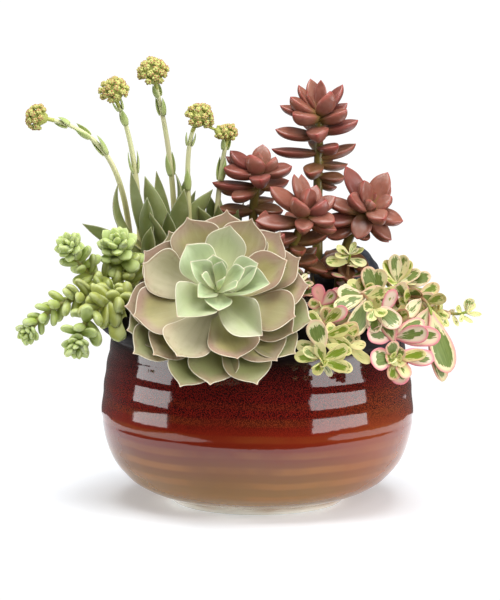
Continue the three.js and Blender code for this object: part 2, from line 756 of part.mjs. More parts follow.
const STONECROP_KIND = {
  rings: 7,
  shape: STONECROP_LEAF,
  sides: 3,
  wide: 0.54,
  thick: 0.1,
  curl: 10,
  cup: 0.16,
};
const STONECROP_RULE = {
  count: 12,
  first: 0.45,
  crowd: 0.9,
  rise: [8, 64],
  bend: 1.8,
  shrink: 1.8,
  pairs: true,
};
const STONECROP_SHOOTS = [
  {
    path: [[64, 8, 136], [65, 10, 154], [66, 8, 170], [65, 4, 186]],
    leaves: leafRows({ ...STONECROP_RULE, seed: 51, start: 20, length: [19, 9], count: 10 }),
  },
  {
    path: [[62, -22, 135], [66, -26, 156], [76, -38, 164], [81, -50, 170]],
    leaves: leafRows({ ...STONECROP_RULE, seed: 53, start: 35, length: [27, 11], count: 14 }),
  },
  {
    path: [[46, -72, 134], [48, -92, 160], [50, -118, 156], [49, -130, 130]],
    leaves: leafRows({ ...STONECROP_RULE, seed: 57, start: 50, length: [25, 11] }),
  },
  {
    path: [[76, -46, 134], [92, -64, 164], [102, -92, 156], [104, -108, 128]],
    leaves: leafRows({ ...STONECROP_RULE, seed: 61, start: 20, length: [25, 10], count: 14 }),
  },
  {
    path: [[84, -8, 133], [90, -4, 150], [98, 0, 160], [102, -2, 172]],
    leaves: leafRows({ ...STONECROP_RULE, seed: 67, start: 60, length: [26, 15], count: 10 }),
  },
  {
    path: [[86, -28, 133], [96, -34, 164], [122, -50, 158], [134, -60, 159]],
    leaves: leafRows({ ...STONECROP_RULE, seed: 71, start: 30, length: [17, 8] }),
  },
  {
    path: [[88, -12, 133], [100, -12, 184], [136, -20, 132], [158, -26, 148]],
    leaves: leafRows({ ...STONECROP_RULE, seed: 73, start: 10, length: [12, 8] }),
  },
  {
    path: [[84, -36, 133], [106, -52, 184], [128, -70, 166], [131, -78, 136]],
    leaves: [
      [0.62, 90, 30, 22],
      [0.66, 200, 20, 20],
      [0.85, 90, 22, 26],
      [0.88, 190, 30, 22],
      [0.96, 90, 62, 40],
      [0.98, 10, 50, 20],
      [1, 150, 70, 24],
    ],
  },
  {
    path: [[-44, -4, 136], [-46, -6, 150], [-44, -10, 164], [-40, -14, 176]],
    leaves: leafRows({ ...STONECROP_RULE, seed: 83, start: 15, length: [24, 11], count: 10 }),
  },
].map((row) => ({ ...row, radius: [1.7, 1.2] }));

// ---- assembly: each plant clears a way for itself through the ones that come after it ----

const plan = [
  { name: "echeveria_rosette", make: rosette, finish: ROSETTE_GREEN },
  ...STALKS.map((row, i) => ({
    name: `crassula_stalk_${i + 1}`,
    make: (grow) => stalk(row, i, grow),
    finish: STALK_GREEN,
  })),
  ...HEADS.map((row, i) => ({
    name: `crassula_buds_${i + 1}`,
    make: (grow) => budHead(row, i, grow),
    finish: BUD_YELLOW,
  })),
  ...RED_SHOOTS.map((row, i) => ({
    name: `red_sedum_shoot_${i + 1}`,
    make: (grow) => shoot({ ...row, kind: RED_KIND }, grow),
    finish: SEDUM_RED,
  })),
  ...STONES.map((row, i) => ({
    name: `river_stone_${i + 1}`,
    make: (grow) => stone(row, grow),
    finish: STONE_BLACK,
  })),
  ...Object.entries(CRASSULA_TUFTS).map(([name, row]) => ({
    name,
    make: (grow) => crassulaTuft(row, grow),
    finish: CRASSULA_GREEN,
  })),
  ...DONKEY_SHOOTS.map((row, i) => ({
    name: `donkey_tail_shoot_${i + 1}`,
    make: (grow) => shoot({ ...row, kind: DONKEY_KIND }, grow),
    finish: DONKEY_GREEN,
  })),
  ...STONECROP_SHOOTS.map((row, i) => ({
    name: `stonecrop_shoot_${i + 1}`,
    make: (grow) => shoot({ ...row, kind: STONECROP_KIND }, grow),
    finish: STONECROP_CREAM,
  })),
];

const group = new THREE.Group();
group.add(meshOf(bowl(), "bowl", GLAZE_RED));

const clear = [bowl(BOWL_GAP)];
for (const { name, make, finish } of plan) {
  const whole = make(0);
  const made = largest(clear.reduce((left, taken) => left.subtract(taken), whole));
  group.add(meshOf(made, name, finish));
  clear.push(make(GAP));
}

const ground = clear.slice(1).reduce((left, taken) => left.subtract(taken), soil());
group.add(meshOf(largest(ground), "potting_soil", SOIL_BROWN));

export default group;
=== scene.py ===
import math

import bpy
import numpy as np
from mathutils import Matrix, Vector, noise


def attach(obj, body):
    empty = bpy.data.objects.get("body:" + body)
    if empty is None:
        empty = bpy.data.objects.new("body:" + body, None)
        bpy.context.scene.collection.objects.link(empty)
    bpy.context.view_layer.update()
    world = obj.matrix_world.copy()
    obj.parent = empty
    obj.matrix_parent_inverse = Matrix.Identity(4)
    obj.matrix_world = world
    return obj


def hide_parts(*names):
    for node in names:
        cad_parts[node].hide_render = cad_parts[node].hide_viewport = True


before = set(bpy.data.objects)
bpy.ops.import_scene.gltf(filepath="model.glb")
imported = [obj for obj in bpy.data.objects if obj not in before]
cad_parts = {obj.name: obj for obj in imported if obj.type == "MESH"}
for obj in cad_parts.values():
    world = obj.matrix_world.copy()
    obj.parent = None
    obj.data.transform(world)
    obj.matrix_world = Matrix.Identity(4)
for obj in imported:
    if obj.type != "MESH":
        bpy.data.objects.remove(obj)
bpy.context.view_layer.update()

MM = 0.001

# ---- the bowl ----
# A round planter thrown on the wheel in stoneware, with soft finger rings and an everted collar.
# Its reactive glaze ran in the kiln: near black on the collar, crimson with dark specks on the wall and
# amber brown towards the foot.


def deselect():
    bpy.ops.object.select_all(action="DESELECT")


class Value:
    """A socket of a finish's nodes. A sum written with it adds the Math nodes."""

    def __init__(self, finish, socket):
        self.finish = finish
        self.socket = socket

    def sum(self, operation, first, second):
        return self.finish.node("Math", {"operation": operation}, {0: first, 1: second})

    def __add__(self, other):
        return self.sum("ADD", self, other)

    def __radd__(self, other):
        return self.sum("ADD", other, self)

    def __sub__(self, other):
        return self.sum("SUBTRACT", self, other)

    def __rsub__(self, other):
        return self.sum("SUBTRACT", other, self)

    def __mul__(self, other):
        return self.sum("MULTIPLY", self, other)

    def __rmul__(self, other):
        return self.sum("MULTIPLY", other, self)

    def step(self, low, high):
        """0 below low and 1 above high, smooth in between."""
        sockets = {"Value": self, "From Min": low, "From Max": high}
        return self.finish.node("MapRange", {"interpolation_type": "SMOOTHSTEP"}, sockets)

    def tint(self, colour, other):
        """colour where this is 0, other where it is 1."""
        sockets = {0: self, 6: colour, 7: other}
        return self.finish.node("Mix", {"data_type": "RGBA"}, sockets, 2)


class Finish:
    """A material. Its constants go straight onto the shader, and node() adds any node."""

    def __init__(self, name, **constants):
        self.material = bpy.data.materials.new(name)
        self.material.use_nodes = True
        self.tree = self.material.node_tree
        self.shader = self.tree.nodes["Principled BSDF"]
        for socket, value in constants.items():
            self.feed(self.shader.inputs[socket.replace("_", " ")], value)

    def feed(self, socket, value):
        if isinstance(value, Value):
            self.tree.links.new(value.socket, socket)
        elif socket.type == "RGBA" and len(value) == 3:
            socket.default_value = (*value, 1)
        else:
            socket.default_value = value

    def node(self, kind, settings=None, sockets=None, out=0):
        made = self.tree.nodes.new("ShaderNode" + kind)
        for key, value in (settings or {}).items():
            if key == "stops":
                for place, colour in value[2:]:
                    made.color_ramp.elements.new(place)
                for stop, (place, colour) in zip(made.color_ramp.elements, value):
                    stop.position = place
                    stop.color = (*colour, 1)
            else:
                setattr(made, key, value)
        for key, value in (sockets or {}).items():
            self.feed(made.inputs[key], value)
        return Value(self, made.outputs[out])

    def place(self):
        return self.node("TexCoord", out="Object")

    def part(self, vector, axis):
        return self.node("SeparateXYZ", None, {0: vector}, axis)

    def cloud(self, scale, detail=3.0, vector=None):
        sockets = {"Vector": vector or self.place(), "Scale": scale, "Detail": detail}
        return self.node("TexNoise", None, sockets)

    def ramp(self, value, stops):
        return self.node("ValToRGB", {"stops": stops}, {0: value})

    def wear(self, socket, value):
        self.feed(self.shader.inputs[socket], value)

    def bump(self, height, strength, distance):
        sockets = {"Height": height, "Strength": strength, "Distance": distance}
        self.wear("Normal", self.node("Bump", None, sockets))


def colour(red, green, blue):
    """A colour given as it looks on a screen, 0 to 255, as the linear values that the shader takes."""
    return tuple(
        c / 12.92 if c <= 0.04045 else ((c + 0.055) / 1.055) ** 2.4
        for c in (red / 255, green / 255, blue / 255)
    )


def coats(first, *others):
    """A screen colour with others laid over it in turn, each as far as its mask says."""
    mixed = first if isinstance(first, Value) else colour(*first)
    for mask, tone in others:
        mixed = mask.tint(mixed, tone if isinstance(tone, Value) else colour(*tone))
    return mixed


def settle(piece, finish, slot, *nodes):
    """Gives a finished piece its material, hangs it from the root body and hides the model parts that it
    replaces.
    """
    piece.data.materials.clear()
    piece.data.materials.append(finish.material)
    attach(piece, "root")
    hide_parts(*nodes)


BOWL_WALL = [
    (0, 0), (40, 0), (61, 0), (62.4, 0.5), (63, 2), (63.4, 4), (66, 5.2), (72, 7), (79, 9.3), (84, 11.5),
    (89, 14.4), (93, 17), (97, 20.6), (101, 25), (104.2, 28.8), (107, 33), (109.4, 38), (111.4, 43.4),
    (112.8, 48), (113.8, 52), (114.4, 55.5), (114.7, 58.5),
]
BELLY_TOP, BELLY_RADIUS = 66, 115
WALL_RISE, NECK_RADIUS = 58, 107.5
FINGER_RINGS = [(70, 0.45, 9), (88.5, 0.6, 9), (104.5, 0.6, 8.2), (119, 0.3, 7)]  # height, depth, reach
BOWL_COLLAR = [
    (107.6, 124), (108.6, 125.6), (111, 127.2), (114, 129.2), (116.8, 132), (118.4, 136), (119, 140.5),
    (118.8, 144), (117.6, 146.6), (115.6, 147.9), (113.4, 148), (111.6, 146.8), (110.4, 144), (109, 139),
    (106, 133), (102.6, 128),
]
BOWL_INSIDE = [(102, 118), (103.4, 104), (105.6, 88), (107.5, 70), (107, 56), (103.6, 43), (98, 33.4),
               (89, 24), (78, 18), (64, 13.6), (40, 11), (0, 10)]
WALL_HEIGHTS = (61, 123, 1.6)  # from the bowl, up to the collar, step


def wall_radius(height):
    share = max(0.0, (height - BELLY_TOP) / WALL_RISE)
    plain = BELLY_RADIUS + (NECK_RADIUS - BELLY_RADIUS) * share**1.35
    for crest, depth, reach in FINGER_RINGS:
        away = (height - crest) / reach
        if abs(away) < 1:
            plain += depth * 0.5 * (1 + math.cos(math.pi * away)) - depth * 0.35
    return plain


profile = list(BOWL_WALL)
profile += [(wall_radius(height), height) for height in np.arange(*WALL_HEIGHTS)]
profile += BOWL_COLLAR + BOWL_INSIDE

deselect()
bpy.ops.mesh.primitive_plane_add(size=MM)
bowl = bpy.context.object
bowl.name = "glazed_bowl"
bpy.ops.object.mode_set(mode="EDIT")
bpy.ops.mesh.select_all(action="SELECT")
bpy.ops.mesh.merge(type="CENTER")
for (radius, height), (next_radius, next_height) in zip(profile, profile[1:]):
    move = ((next_radius - radius) * MM, 0, (next_height - height) * MM)
    bpy.ops.mesh.extrude_region_move(TRANSFORM_OT_translate={"value": move})
bpy.ops.mesh.select_all(action="SELECT")
bpy.ops.mesh.spin(steps=144, angle=2 * math.pi, center=(0, 0, 0), axis=(0, 0, 1))
bpy.ops.mesh.select_all(action="SELECT")
bpy.ops.mesh.remove_doubles(threshold=0.00005)
bpy.ops.mesh.normals_make_consistent(inside=False)
bpy.ops.object.mode_set(mode="OBJECT")
for vertex in bowl.data.vertices:
    x, y, z = vertex.co
    turn = math.atan2(y, x)
    # a wall thrown by hand is never quite round
    throwing = 0.16 * math.sin(2 * turn + z * 90) + 0.1 * math.sin(5 * turn + z * 240)
    uneven = 1 + throwing * 0.01 * min(1, z / 0.02)
    vertex.co.x *= uneven
    vertex.co.y *= uneven
smooth = bowl.modifiers.new("even", "SUBSURF")
smooth.levels = smooth.render_levels = 1
bpy.ops.object.modifier_apply(modifier="even")
bpy.ops.object.shade_smooth()

GLAZE_HEIGHT = 150
# The two palest stops at the foot are painted reflection of the white table in the glossy glaze there, laid
# on as a pale band.
GLAZE = [  # share of the glaze's height, then its colour there
    (0.0, 232, 228, 218), (0.03, 226, 218, 202), (0.065, 134, 94, 34), (0.2, 114, 75, 28),
    (0.31, 106, 56, 24), (0.37, 100, 32, 15), (0.47, 116, 30, 15), (0.6, 114, 24, 17), (0.72, 92, 21, 17),
    (0.8, 54, 20, 17), (0.83, 20, 14, 14),
]
glaze = Finish("reactive_glaze", IOR=1.55)
height = glaze.part(glaze.place(), 2) * 1000
height = height + (glaze.cloud(14.0) - 0.5) * 9 + (glaze.cloud(60.0) - 0.5) * 3
fired = glaze.ramp(height * (1 / GLAZE_HEIGHT), [(share, colour(*tone)) for share, *tone in GLAZE])
bands = glaze.node(
    "TexWave",
    {"wave_type": "BANDS", "bands_direction": "Z", "wave_profile": "SIN"},
    {"Vector": glaze.place(), "Scale": 26.0, "Distortion": 1.6, "Detail": 2.0, "Detail Scale": 0.5},
)
warm = bands.step(0.3, 0.9) * (0.08 + glaze.cloud(18.0).step(0.35, 0.65) * 0.42)
warm = warm * (0.35 + height.step(62, 40) * 0.65) * height.step(110, 70)
# Amber on the right side of the wall, below the upper rings: painted reflection, laid into the glaze colour
# as if the glaze ran thin there.
right_amber_reflection = glaze.part(glaze.place(), 0).step(0.03, 0.105) * height.step(106, 84)
cells = glaze.node("TexVoronoi", None, {"Vector": glaze.place(), "Scale": 1150.0}, "Distance")
specks = cells.step(0.3, 0.62) * height.step(62, 84) * height.step(132, 118)
glaze.wear("Base Color", coats(
    fired,
    (warm, (150, 96, 40)),
    (right_amber_reflection * (0.25 + glaze.cloud(22.0) * 0.6), (136, 66, 30)),
    (specks * 0.8, (24, 8, 8)),
))
glaze.wear("Roughness", 0.07 + height.step(118, 127) * 0.6)
glaze.wear("Metallic", height.step(119, 125) * 0.95)  # near-black metal on the collar: the dull sheen of an iron-rich glaze, which also darkens its reflections as painted shade under the overhanging leaves
glaze.bump(glaze.cloud(130.0, 2.0), 0.05, 0.002)
settle(bowl, glaze, "glazed_bowl", "bowl")

# ---- the soil ----
# Dark peat and bark mix, heaped a little towards the middle, with loose crumbs on top.

SOIL_RADIUS = 101
SOIL_DEPTH = 30
CRUMBS = 900


def soil_height(x, y):
    radius = math.hypot(x, y)
    heap = np.interp(radius, [0, 35, 68, 90, SOIL_RADIUS], [147, 146, 142, 139.5, 135.5])
    rough = noise.fractal(Vector((x, y, 3)) * 0.09, 0.7, 2.2, 5)
    return heap + 1.6 * math.sin(x * 0.09 + 1) * math.cos(y * 0.11) - 1.2 + rough * 2.2


def piece_of(name, points, faces):
    mesh = bpy.data.meshes.new(name)
    mesh.from_pydata(points.tolist(), [], faces)
    mesh.polygons.foreach_set("use_smooth", [True] * len(mesh.polygons))
    piece = bpy.data.objects.new(name, mesh)
    bpy.context.scene.collection.objects.link(piece)
    return piece


deselect()
bpy.ops.mesh.primitive_grid_add(x_subdivisions=110, y_subdivisions=110, size=2)
soil = bpy.context.object
soil.name = "potting_mix"
for vertex in soil.data.vertices:
    x, y = vertex.co.x, vertex.co.y
    across = x * math.sqrt(1 - y * y / 2) * SOIL_RADIUS
    along = y * math.sqrt(1 - x * x / 2) * SOIL_RADIUS
    vertex.co = Vector((across, along, soil_height(across, along))) * MM
bpy.ops.object.mode_set(mode="EDIT")
bpy.ops.mesh.select_all(action="SELECT")
bpy.ops.mesh.region_to_loop()
bpy.ops.mesh.extrude_region_move(TRANSFORM_OT_translate={"value": (0, 0, -SOIL_DEPTH * MM)})
bpy.ops.transform.resize(value=(0.99, 0.99, 0))
bpy.ops.mesh.edge_face_add()
bpy.ops.mesh.select_all(action="SELECT")
bpy.ops.mesh.normals_make_consistent(inside=False)
bpy.ops.object.mode_set(mode="OBJECT")
bpy.ops.object.shade_smooth()

deselect()
bpy.ops.mesh.primitive_ico_sphere_add(subdivisions=1, radius=1)
crumb = bpy.context.object
crumb_points = np.array([vertex.co for vertex in crumb.data.vertices])
crumb_faces = [tuple(face.vertices) for face in crumb.data.polygons]
bpy.data.objects.remove(crumb)
draw = np.random.default_rng(5)
points, faces = [], []
for number in range(CRUMBS):
    turn = draw.uniform(0, 2 * math.pi)
    radius = SOIL_RADIUS * 0.98 * math.sqrt(draw.uniform(0, 1))
    x, y = radius * math.cos(turn), radius * math.sin(turn)
    size = draw.uniform(0.7, 2.6) * draw.uniform(0.7, 1.3, 3)
    shape = crumb_points * (1 + draw.uniform(-0.25, 0.25, (len(crumb_points), 1))) * size
    faces += [tuple(corner + len(shape) * number for corner in face) for face in crumb_faces]
    points.append(shape + (x, y, soil_height(x, y) + 0.3 * size[2]))
crumbs = piece_of("soil_crumbs", np.concatenate(points) * MM, faces)

earth = Finish("potting_mix", Roughness=0.95, Specular_IOR_Level=0.2)
grain = earth.cloud(420.0, 6.0)
clump = earth.cloud(60.0)
earth.wear("Base Color", coats(
    (22, 17, 13), (grain.step(0.35, 0.7), (74, 58, 44)), (clump.step(0.5, 0.7), (46, 34, 25)),
))
earth.bump(grain, 0.8, 0.002)
settle(soil, earth, "soil", "potting_soil")
settle(crumbs, earth, "soil")

# ---- the river stones ----
# Black water-worn stones laid on the soil between the plants, polished to a soft shine.

# middle, half length, width and height, and turn
STONES = [
    ((66, 52, 161), (27, 19, 21), 15), ((-93, 22, 149), (15, 20, 11), -10),
    ((72, -62, 148), (17, 13, 9.5), 30), ((-60, 72, 154), (23, 18, 14), 25),
    ((6, 84, 152), (24, 16, 13), -8), ((-58, -34, 149), (15, 19, 10), 12),
]
WORN = 0.97

basalt = Finish("polished_basalt", IOR=1.5)
mottle = basalt.cloud(90.0, 5.0)
dust = basalt.cloud(900.0, 2.0)
basalt.wear("Base Color", coats(
    (26, 27, 32), (mottle.step(0.35, 0.75), (54, 57, 66)), (dust.step(0.62, 0.72) * 0.35, (120, 122, 126)),
))
basalt.wear("Roughness", 0.22 + mottle * 0.2)
basalt.bump(dust, 0.06, 0.001)

for number, (middle, half, turn) in enumerate(STONES, 1):
    deselect()
    bpy.ops.mesh.primitive_uv_sphere_add(segments=56, ring_count=36, radius=1)
    stone = bpy.context.object
    stone.name = f"river_pebble_{number}"
    slope = math.radians(turn)
    for vertex in stone.data.vertices:
        bulge = 1 + 0.1 * noise.noise(vertex.co * 1.1 + Vector((number * 7, 0, 0)))
        bulge += 0.03 * noise.noise(vertex.co * 3.1 + Vector((0, number * 5, 0)))
        x, y, z = (vertex.co[axis] * half[axis] * bulge * WORN for axis in range(3))
        right = middle[0] + x * math.cos(slope) - y * math.sin(slope)
        back = middle[1] + x * math.sin(slope) + y * math.cos(slope)
        vertex.co = Vector((right, back, middle[2] + z)) * MM
    bpy.ops.object.shade_smooth()
    settle(stone, basalt, "river_stone", f"river_stone_{number}")

# ---- the echeveria rosette ----
# One large rosette of fleshy spoon-shaped leaves on a short stem, leaning forward over the collar.
# Each leaf has a pale waxy margin and a small rosy point. The leaves are mint green at the heart and
# dusty pink and olive outside.

ROSETTE_AT = np.array((-29.0, -108.0, 172.0))
ROSETTE_TILT = math.radians(38)
ROSETTE_AXIS = np.array((0, -math.cos(ROSETTE_TILT), math.sin(ROSETTE_TILT)))
ROSETTE_UP = np.array((0, math.sin(ROSETTE_TILT), math.cos(ROSETTE_TILT)))
# clock angle, reach from the axis, height of the tip and of the base along it, width, upward bow
ROSETTE_LEAVES = [
    (25, 64, 2, -12, 35, 22), (158, 77, -5, -13, 36, 8), (184, 73, -3, -12, 37, 10),
    (200, 78, -5, -13, 34, 8), (130, 74, -3, -13, 34, 14), (232, 77, -3, -12, 35, 16),
    (247, 71, -4, -13, 40, 14), (108, 72, 0, -12, 35, 18), (325, 62, 2, -12, 35, 22),
    (6, 65, 9, -9, 36, 26), (44, 66, 7, -9, 36, 24), (66, 66, 6, -9, 35, 24), (86, 67, 5, -9, 36, 22),
    (122, 65, 4, -9, 34, 22), (142, 70, 0, -9, 37, 18), (222, 69, 2, -9, 34, 20), (260, 68, 3, -9, 36, 22),
    (300, 62, 8, -9, 37, 26), (338, 59, 16, -6, 37, 30), (25, 60, 15, -6, 36, 30),
    (68, 54, 15, -5, 33, 30), (114, 62, 12, -5, 38, 26), (166, 61, 11, -5, 38, 24),
    (207, 64, 11, -4, 38, 24), (249, 65, 10, -5, 40, 26), (288, 57, 14, -5, 37, 28),
    (12, 44, 26, 0, 31, 26), (320, 34, 28, 2, 30, 18), (70, 31, 28, 3, 24, 16), (143, 54, 19, 2, 30, 10),
    (224, 41, 22, 2, 36, 8), (97, 38, 26, 3, 25, 8), (296, 21, 33, 6, 18, 8), (350, 16, 31, 8, 18, 8),
    (178, 27, 27, 6, 20, 6), (78, 20, 31, 8, 16, 8), (218, 22, 29, 7, 16, 6), (128, 17, 31, 9, 14, 6),
    (20, 10, 33, 11, 11, 4), (262, 11, 33, 11, 10, 4), (140, 6, 34, 12, 8, 4),
]
# the clock angles of the leaves folded along the middle, of the one rolled to its side and of two paler ones:
# partly their own tone, partly painted light where they face the lamps
FOLDED, ROLLED, PALE_AND_LIT = (143, 224, 97, 296, 218), 143, (288, 207)
GROWN_REACH = 55  # the leaves that reach further are the grown ones outside
CORE_RADII, CORE_DEPTH, CORE_TOP = (14, 3), 15, 9
NECK, STEM_RADIUS = [(-29, -66, 130), (-29, -70, 150), (-29, -82, 156)], 7
# along the leaf, half width, half thickness
SPOON = [
    (0, 0.34, 0.9), (0.15, 0.42, 1), (0.35, 0.62, 1), (0.55, 0.87, 0.95), (0.7, 1, 0.85),
    (0.78, 0.98, 0.75), (0.84, 0.86, 0.64), (0.885, 0.65, 0.54), (0.92, 0.4, 0.44),
    (0.945, 0.2, 0.34), (0.97, 0.09, 0.2), (1, 0.02, 0.08),
]
HEART = [
    (0, 0.4, 0.8), (0.16, 0.52, 1), (0.36, 0.76, 1), (0.55, 0.95, 0.95), (0.7, 1, 0.88),
    (0.8, 0.9, 0.8), (0.87, 0.68, 0.7), (0.92, 0.42, 0.56), (0.96, 0.18, 0.36), (1, 0.02, 0.08),
]


def unit(vector):
    return vector / np.linalg.norm(vector)


def through(stations, places, column):
    """A smooth curve through one column of a leaf's stations."""
    at = np.array([row[0] for row in stations], float)
    values = np.array([row[column] for row in stations], float)
    slope = np.gradient(values, at)
    i = np.clip(np.searchsorted(at, places) - 1, 0, len(at) - 2)
    gap = at[i + 1] - at[i]
    s = (places - at[i]) / gap
    smooth = values[i] * (1 + 2 * s) * (1 - s) ** 2 + values[i + 1] * s * s * (3 - 2 * s)
    return np.maximum(smooth + gap * (slope[i] * s * (1 - s) ** 2 - slope[i + 1] * s * s * (1 - s)), 0)


def skin_faces(rows, sides):
    """The faces between a skin's rings of points, then a fan round the middle point of each end."""
    faces = []
    for row in range(rows - 1):
        a, b = row * sides, (row + 1) * sides
        for i in range(sides):
            j = (i + 1) % sides
            faces.append((a + i, b + i, b + j, a + j))
    first, last, end = rows * sides, rows * sides + 1, (rows - 1) * sides
    for i in range(sides):
        j = (i + 1) % sides
        faces += [(first, i, j), (last, end + j, end + i)]
    return faces


def leaf_skin(
    base, tip, face, width, thick, outline, rows, sides, curl=0.0, cup=0.0, top=0.5, wave=0.0, twist=0.0,
    age=0.5, chance=0.5, tip_bend=0.0, fold=0.0, edge=1.0,
):
    """One leaf's points, faces and surface values: uv runs across and along it."""
    along = tip - base
    length = np.linalg.norm(along)
    along = along / length
    up = unit(face - along * np.dot(face, along))
    side = np.cross(along, up)
    v = np.linspace(0, 1, rows)
    v = 0.5 * v + 0.5 * (1 - (1 - v) ** 2)
    turn = np.linspace(0, 2 * math.pi, sides, endpoint=False)
    half = through(outline, v, 1)[:, None] * width / 2
    deep = through(outline, v, 2)[:, None] * thick
    rim = np.cos(turn)[None, :]
    across = half * rim * (1 + wave * np.sin(v * 9 + chance * 20)[:, None] * rim)
    round_off = np.sign(np.sin(turn)) * np.abs(np.sin(turn)) ** edge
    rise = deep * np.where(np.sin(turn) > 0, 0.5 * top, 0.5)[None, :] * round_off[None, :]
    rise = rise + fold * (np.sqrt(across**2 + 1) - 1) + cup * across**2 / (width / 2)
    rise = rise + wave * width * 0.25 * np.sin(v * 7 + chance * 9)[:, None] * rim**2
    roll = (twist * (0.3 + 0.7 * v))[:, None]
    cos, sin = np.cos(roll), np.sin(roll)
    across, rise = across * cos - rise * sin, across * sin + rise * cos
    bow = math.radians(curl)
    lean = (bow * (v - 0.5))[:, None]
    lift = (bow * length * 0.5 * v * (v - 1) + tip_bend * np.clip(v - 0.8, 0, 1) ** 2 * 25)[:, None]
    forward = (v * length)[:, None] - rise * np.sin(lean)
    points = (
        base
        + forward[..., None] * along
        + (lift + rise * np.cos(lean))[..., None] * up
        + across[..., None] * side
    ).reshape(-1, 3)
    ends = [points[:sides].mean(0) - along * 0.02 * length, points[-sides:].mean(0) + along * 0.01]
    points = np.concatenate([points, ends])
    uv = np.stack([np.tile(0.5 + 0.5 * np.cos(turn), rows), np.repeat(v, sides)], 1)
    uv = np.concatenate([uv, [(0.5, 0), (0.5, 1)]])
    flat = (v * length)[:, None] + 1j * half * rim
    margin = np.concatenate([flat[:, 0], flat[::-1, sides // 2]])
    margin = np.interp(np.arange(0, len(margin) - 0.9, 0.25), np.arange(len(margin)), margin)
    inset = np.abs(flat.reshape(-1, 1) - margin[None, :]).min(1)
    values = np.stack([np.full(len(uv), age), np.full(len(uv), chance), np.append(inset, (0.5, 0))], 1)
    return points, skin_faces(rows, sides), uv, values


def stem_skin(path, radii, sides):
    """A round stem along a list of points, with rounded ends."""
    path = np.array(path, float)
    tangent = np.gradient(path, axis=0)
    tangent /= np.linalg.norm(tangent, axis=1)[:, None]
    normal = unit(np.cross(tangent[0], (0.3, 0.2, 0.9) if abs(tangent[0][2]) < 0.9 else (1, 0.1, 0)))
    turn = np.linspace(0, 2 * math.pi, sides, endpoint=False)[:, None]
    rings, v = [], np.linspace(0, 1, len(path))
    for place, direction, share in zip(path, tangent, v):
        normal = unit(normal - direction * np.dot(normal, direction))
        other = np.cross(direction, normal)
        radius = np.interp(share, np.linspace(0, 1, len(radii)), radii)
        rings.append(place + radius * (np.cos(turn) * normal + np.sin(turn) * other))
    ends = [path[0] - tangent[0] * radii[0] * 0.5, path[-1] + tangent[-1] * radii[-1] * 0.7]
    faces = [(face[0], *face[:0:-1]) for face in skin_faces(len(path), sides)]  # its rings turn the other way
    uv = np.stack([np.full(len(path) * sides, 0.5), np.repeat(v, sides)], 1)
    uv = np.concatenate([uv, [(0.5, 0), (0.5, 1)]])
    return np.concatenate([*rings, ends]), faces, uv, np.tile((-1.0, 0.5, 0.5), (len(uv), 1))


def plant(name, skins):
    """One piece from the skins of its leaves and stems, with their uv and surface values."""
    faces, offset = [], 0
    for skin in skins:
        faces += [tuple(corner + offset for corner in face) for face in skin[1]]
        offset += len(skin[0])
    points, uv, values = (np.concatenate([skin[part] for skin in skins]) for part in (0, 2, 3))
    piece = piece_of(name, points * MM, faces)
    mesh = piece.data
    corners = np.zeros(len(mesh.loops), int)
    mesh.loops.foreach_get("vertex_index", corners)
    mesh.uv_layers.new(name="UVMap").data.foreach_set("uv", uv[corners].astype(np.float32).ravel())
    leaf = mesh.attributes.new("leaf", "FLOAT_VECTOR", "POINT")
    leaf.data.foreach_set("vector", values.astype(np.float32).ravel())
    return piece


def bezier(path, shares):
    a, b, c, d = (np.array(p, float) for p in path)
    t = np.atleast_1d(np.array(shares, float))[:, None]
    return (1 - t) ** 3 * a + 3 * (1 - t) ** 2 * t * b + 3 * (1 - t) * t * t * c + t**3 * d


def jitter(seed, index):
    wave = math.sin(seed * 127.1 + index * 311.7) * 43758.5453
    return wave - math.floor(wave) - 0.5


skins = []
for number, (clock, reach, tip_rise, base_rise, width, curl) in enumerate(ROSETTE_LEAVES):
    angle = math.radians(clock)
    outward = ROSETTE_UP * math.cos(angle) + np.array((1, 0, 0)) * math.sin(angle)
    core = 0.5 * np.interp((base_rise + CORE_DEPTH) / (2 * CORE_DEPTH), [0, 1], CORE_RADII)
    base = ROSETTE_AT + ROSETTE_AXIS * base_rise + outward * core
    tip = ROSETTE_AT + ROSETTE_AXIS * tip_rise + outward * reach
    grown = reach > GROWN_REACH
    skins.append(leaf_skin(
        base, tip, ROSETTE_AXIS - outward * 0.01, width, 1.5 + 2.4 * min(1, width / 40),
        SPOON if grown else HEART, rows=36, sides=32, curl=curl, wave=0.04,
        cup=0.26 if grown else 0.12, fold=0.7 if clock in FOLDED else 0.0 if grown else 0.25,
        twist=-0.45 if clock == ROLLED else 0.12 + jitter(number, 8) * 0.1,
        age=min(1, max(0, (22 - base_rise - tip_rise * 0.3) / 34)),
        chance=1 if clock in PALE_AND_LIT else 0.35 + jitter(number, 2) * 0.7, tip_bend=1.6 if grown else -0.4,
    ))
core_line = [ROSETTE_AT + ROSETTE_AXIS * height for height in np.linspace(-CORE_DEPTH, CORE_TOP, 12)]
skins.append(stem_skin(core_line, CORE_RADII, 20))
neck = bezier([*NECK, ROSETTE_AT - ROSETTE_AXIS * CORE_DEPTH], np.linspace(0, 1, 16))
skins.append(stem_skin(neck, (STEM_RADIUS, STEM_RADIUS), 16))
rosette = plant("rosette_leaves", skins)


def leaf_values(finish):
    """Along and across a leaf 0 to 1, its age and chance, and the millimetres from its edge."""
    uv = finish.node("UVMap", {"uv_map": "UVMap"})
    across, along = finish.part(uv, 0), finish.part(uv, 1)
    leaf = finish.node("Attribute", {"attribute_name": "leaf"}, out="Vector")
    age, chance, inset = (finish.part(leaf, axis) for axis in range(3))
    return along, across, age, chance, inset


def streaks(finish, along, across, chance, wide, long):
    """Noise drawn out along a leaf, the way its fibres run."""
    sockets = {0: across * wide + chance * 60, 1: along * long, 2: chance * 25}
    return finish.cloud(1.0, 4.0, finish.node("CombineXYZ", None, sockets))


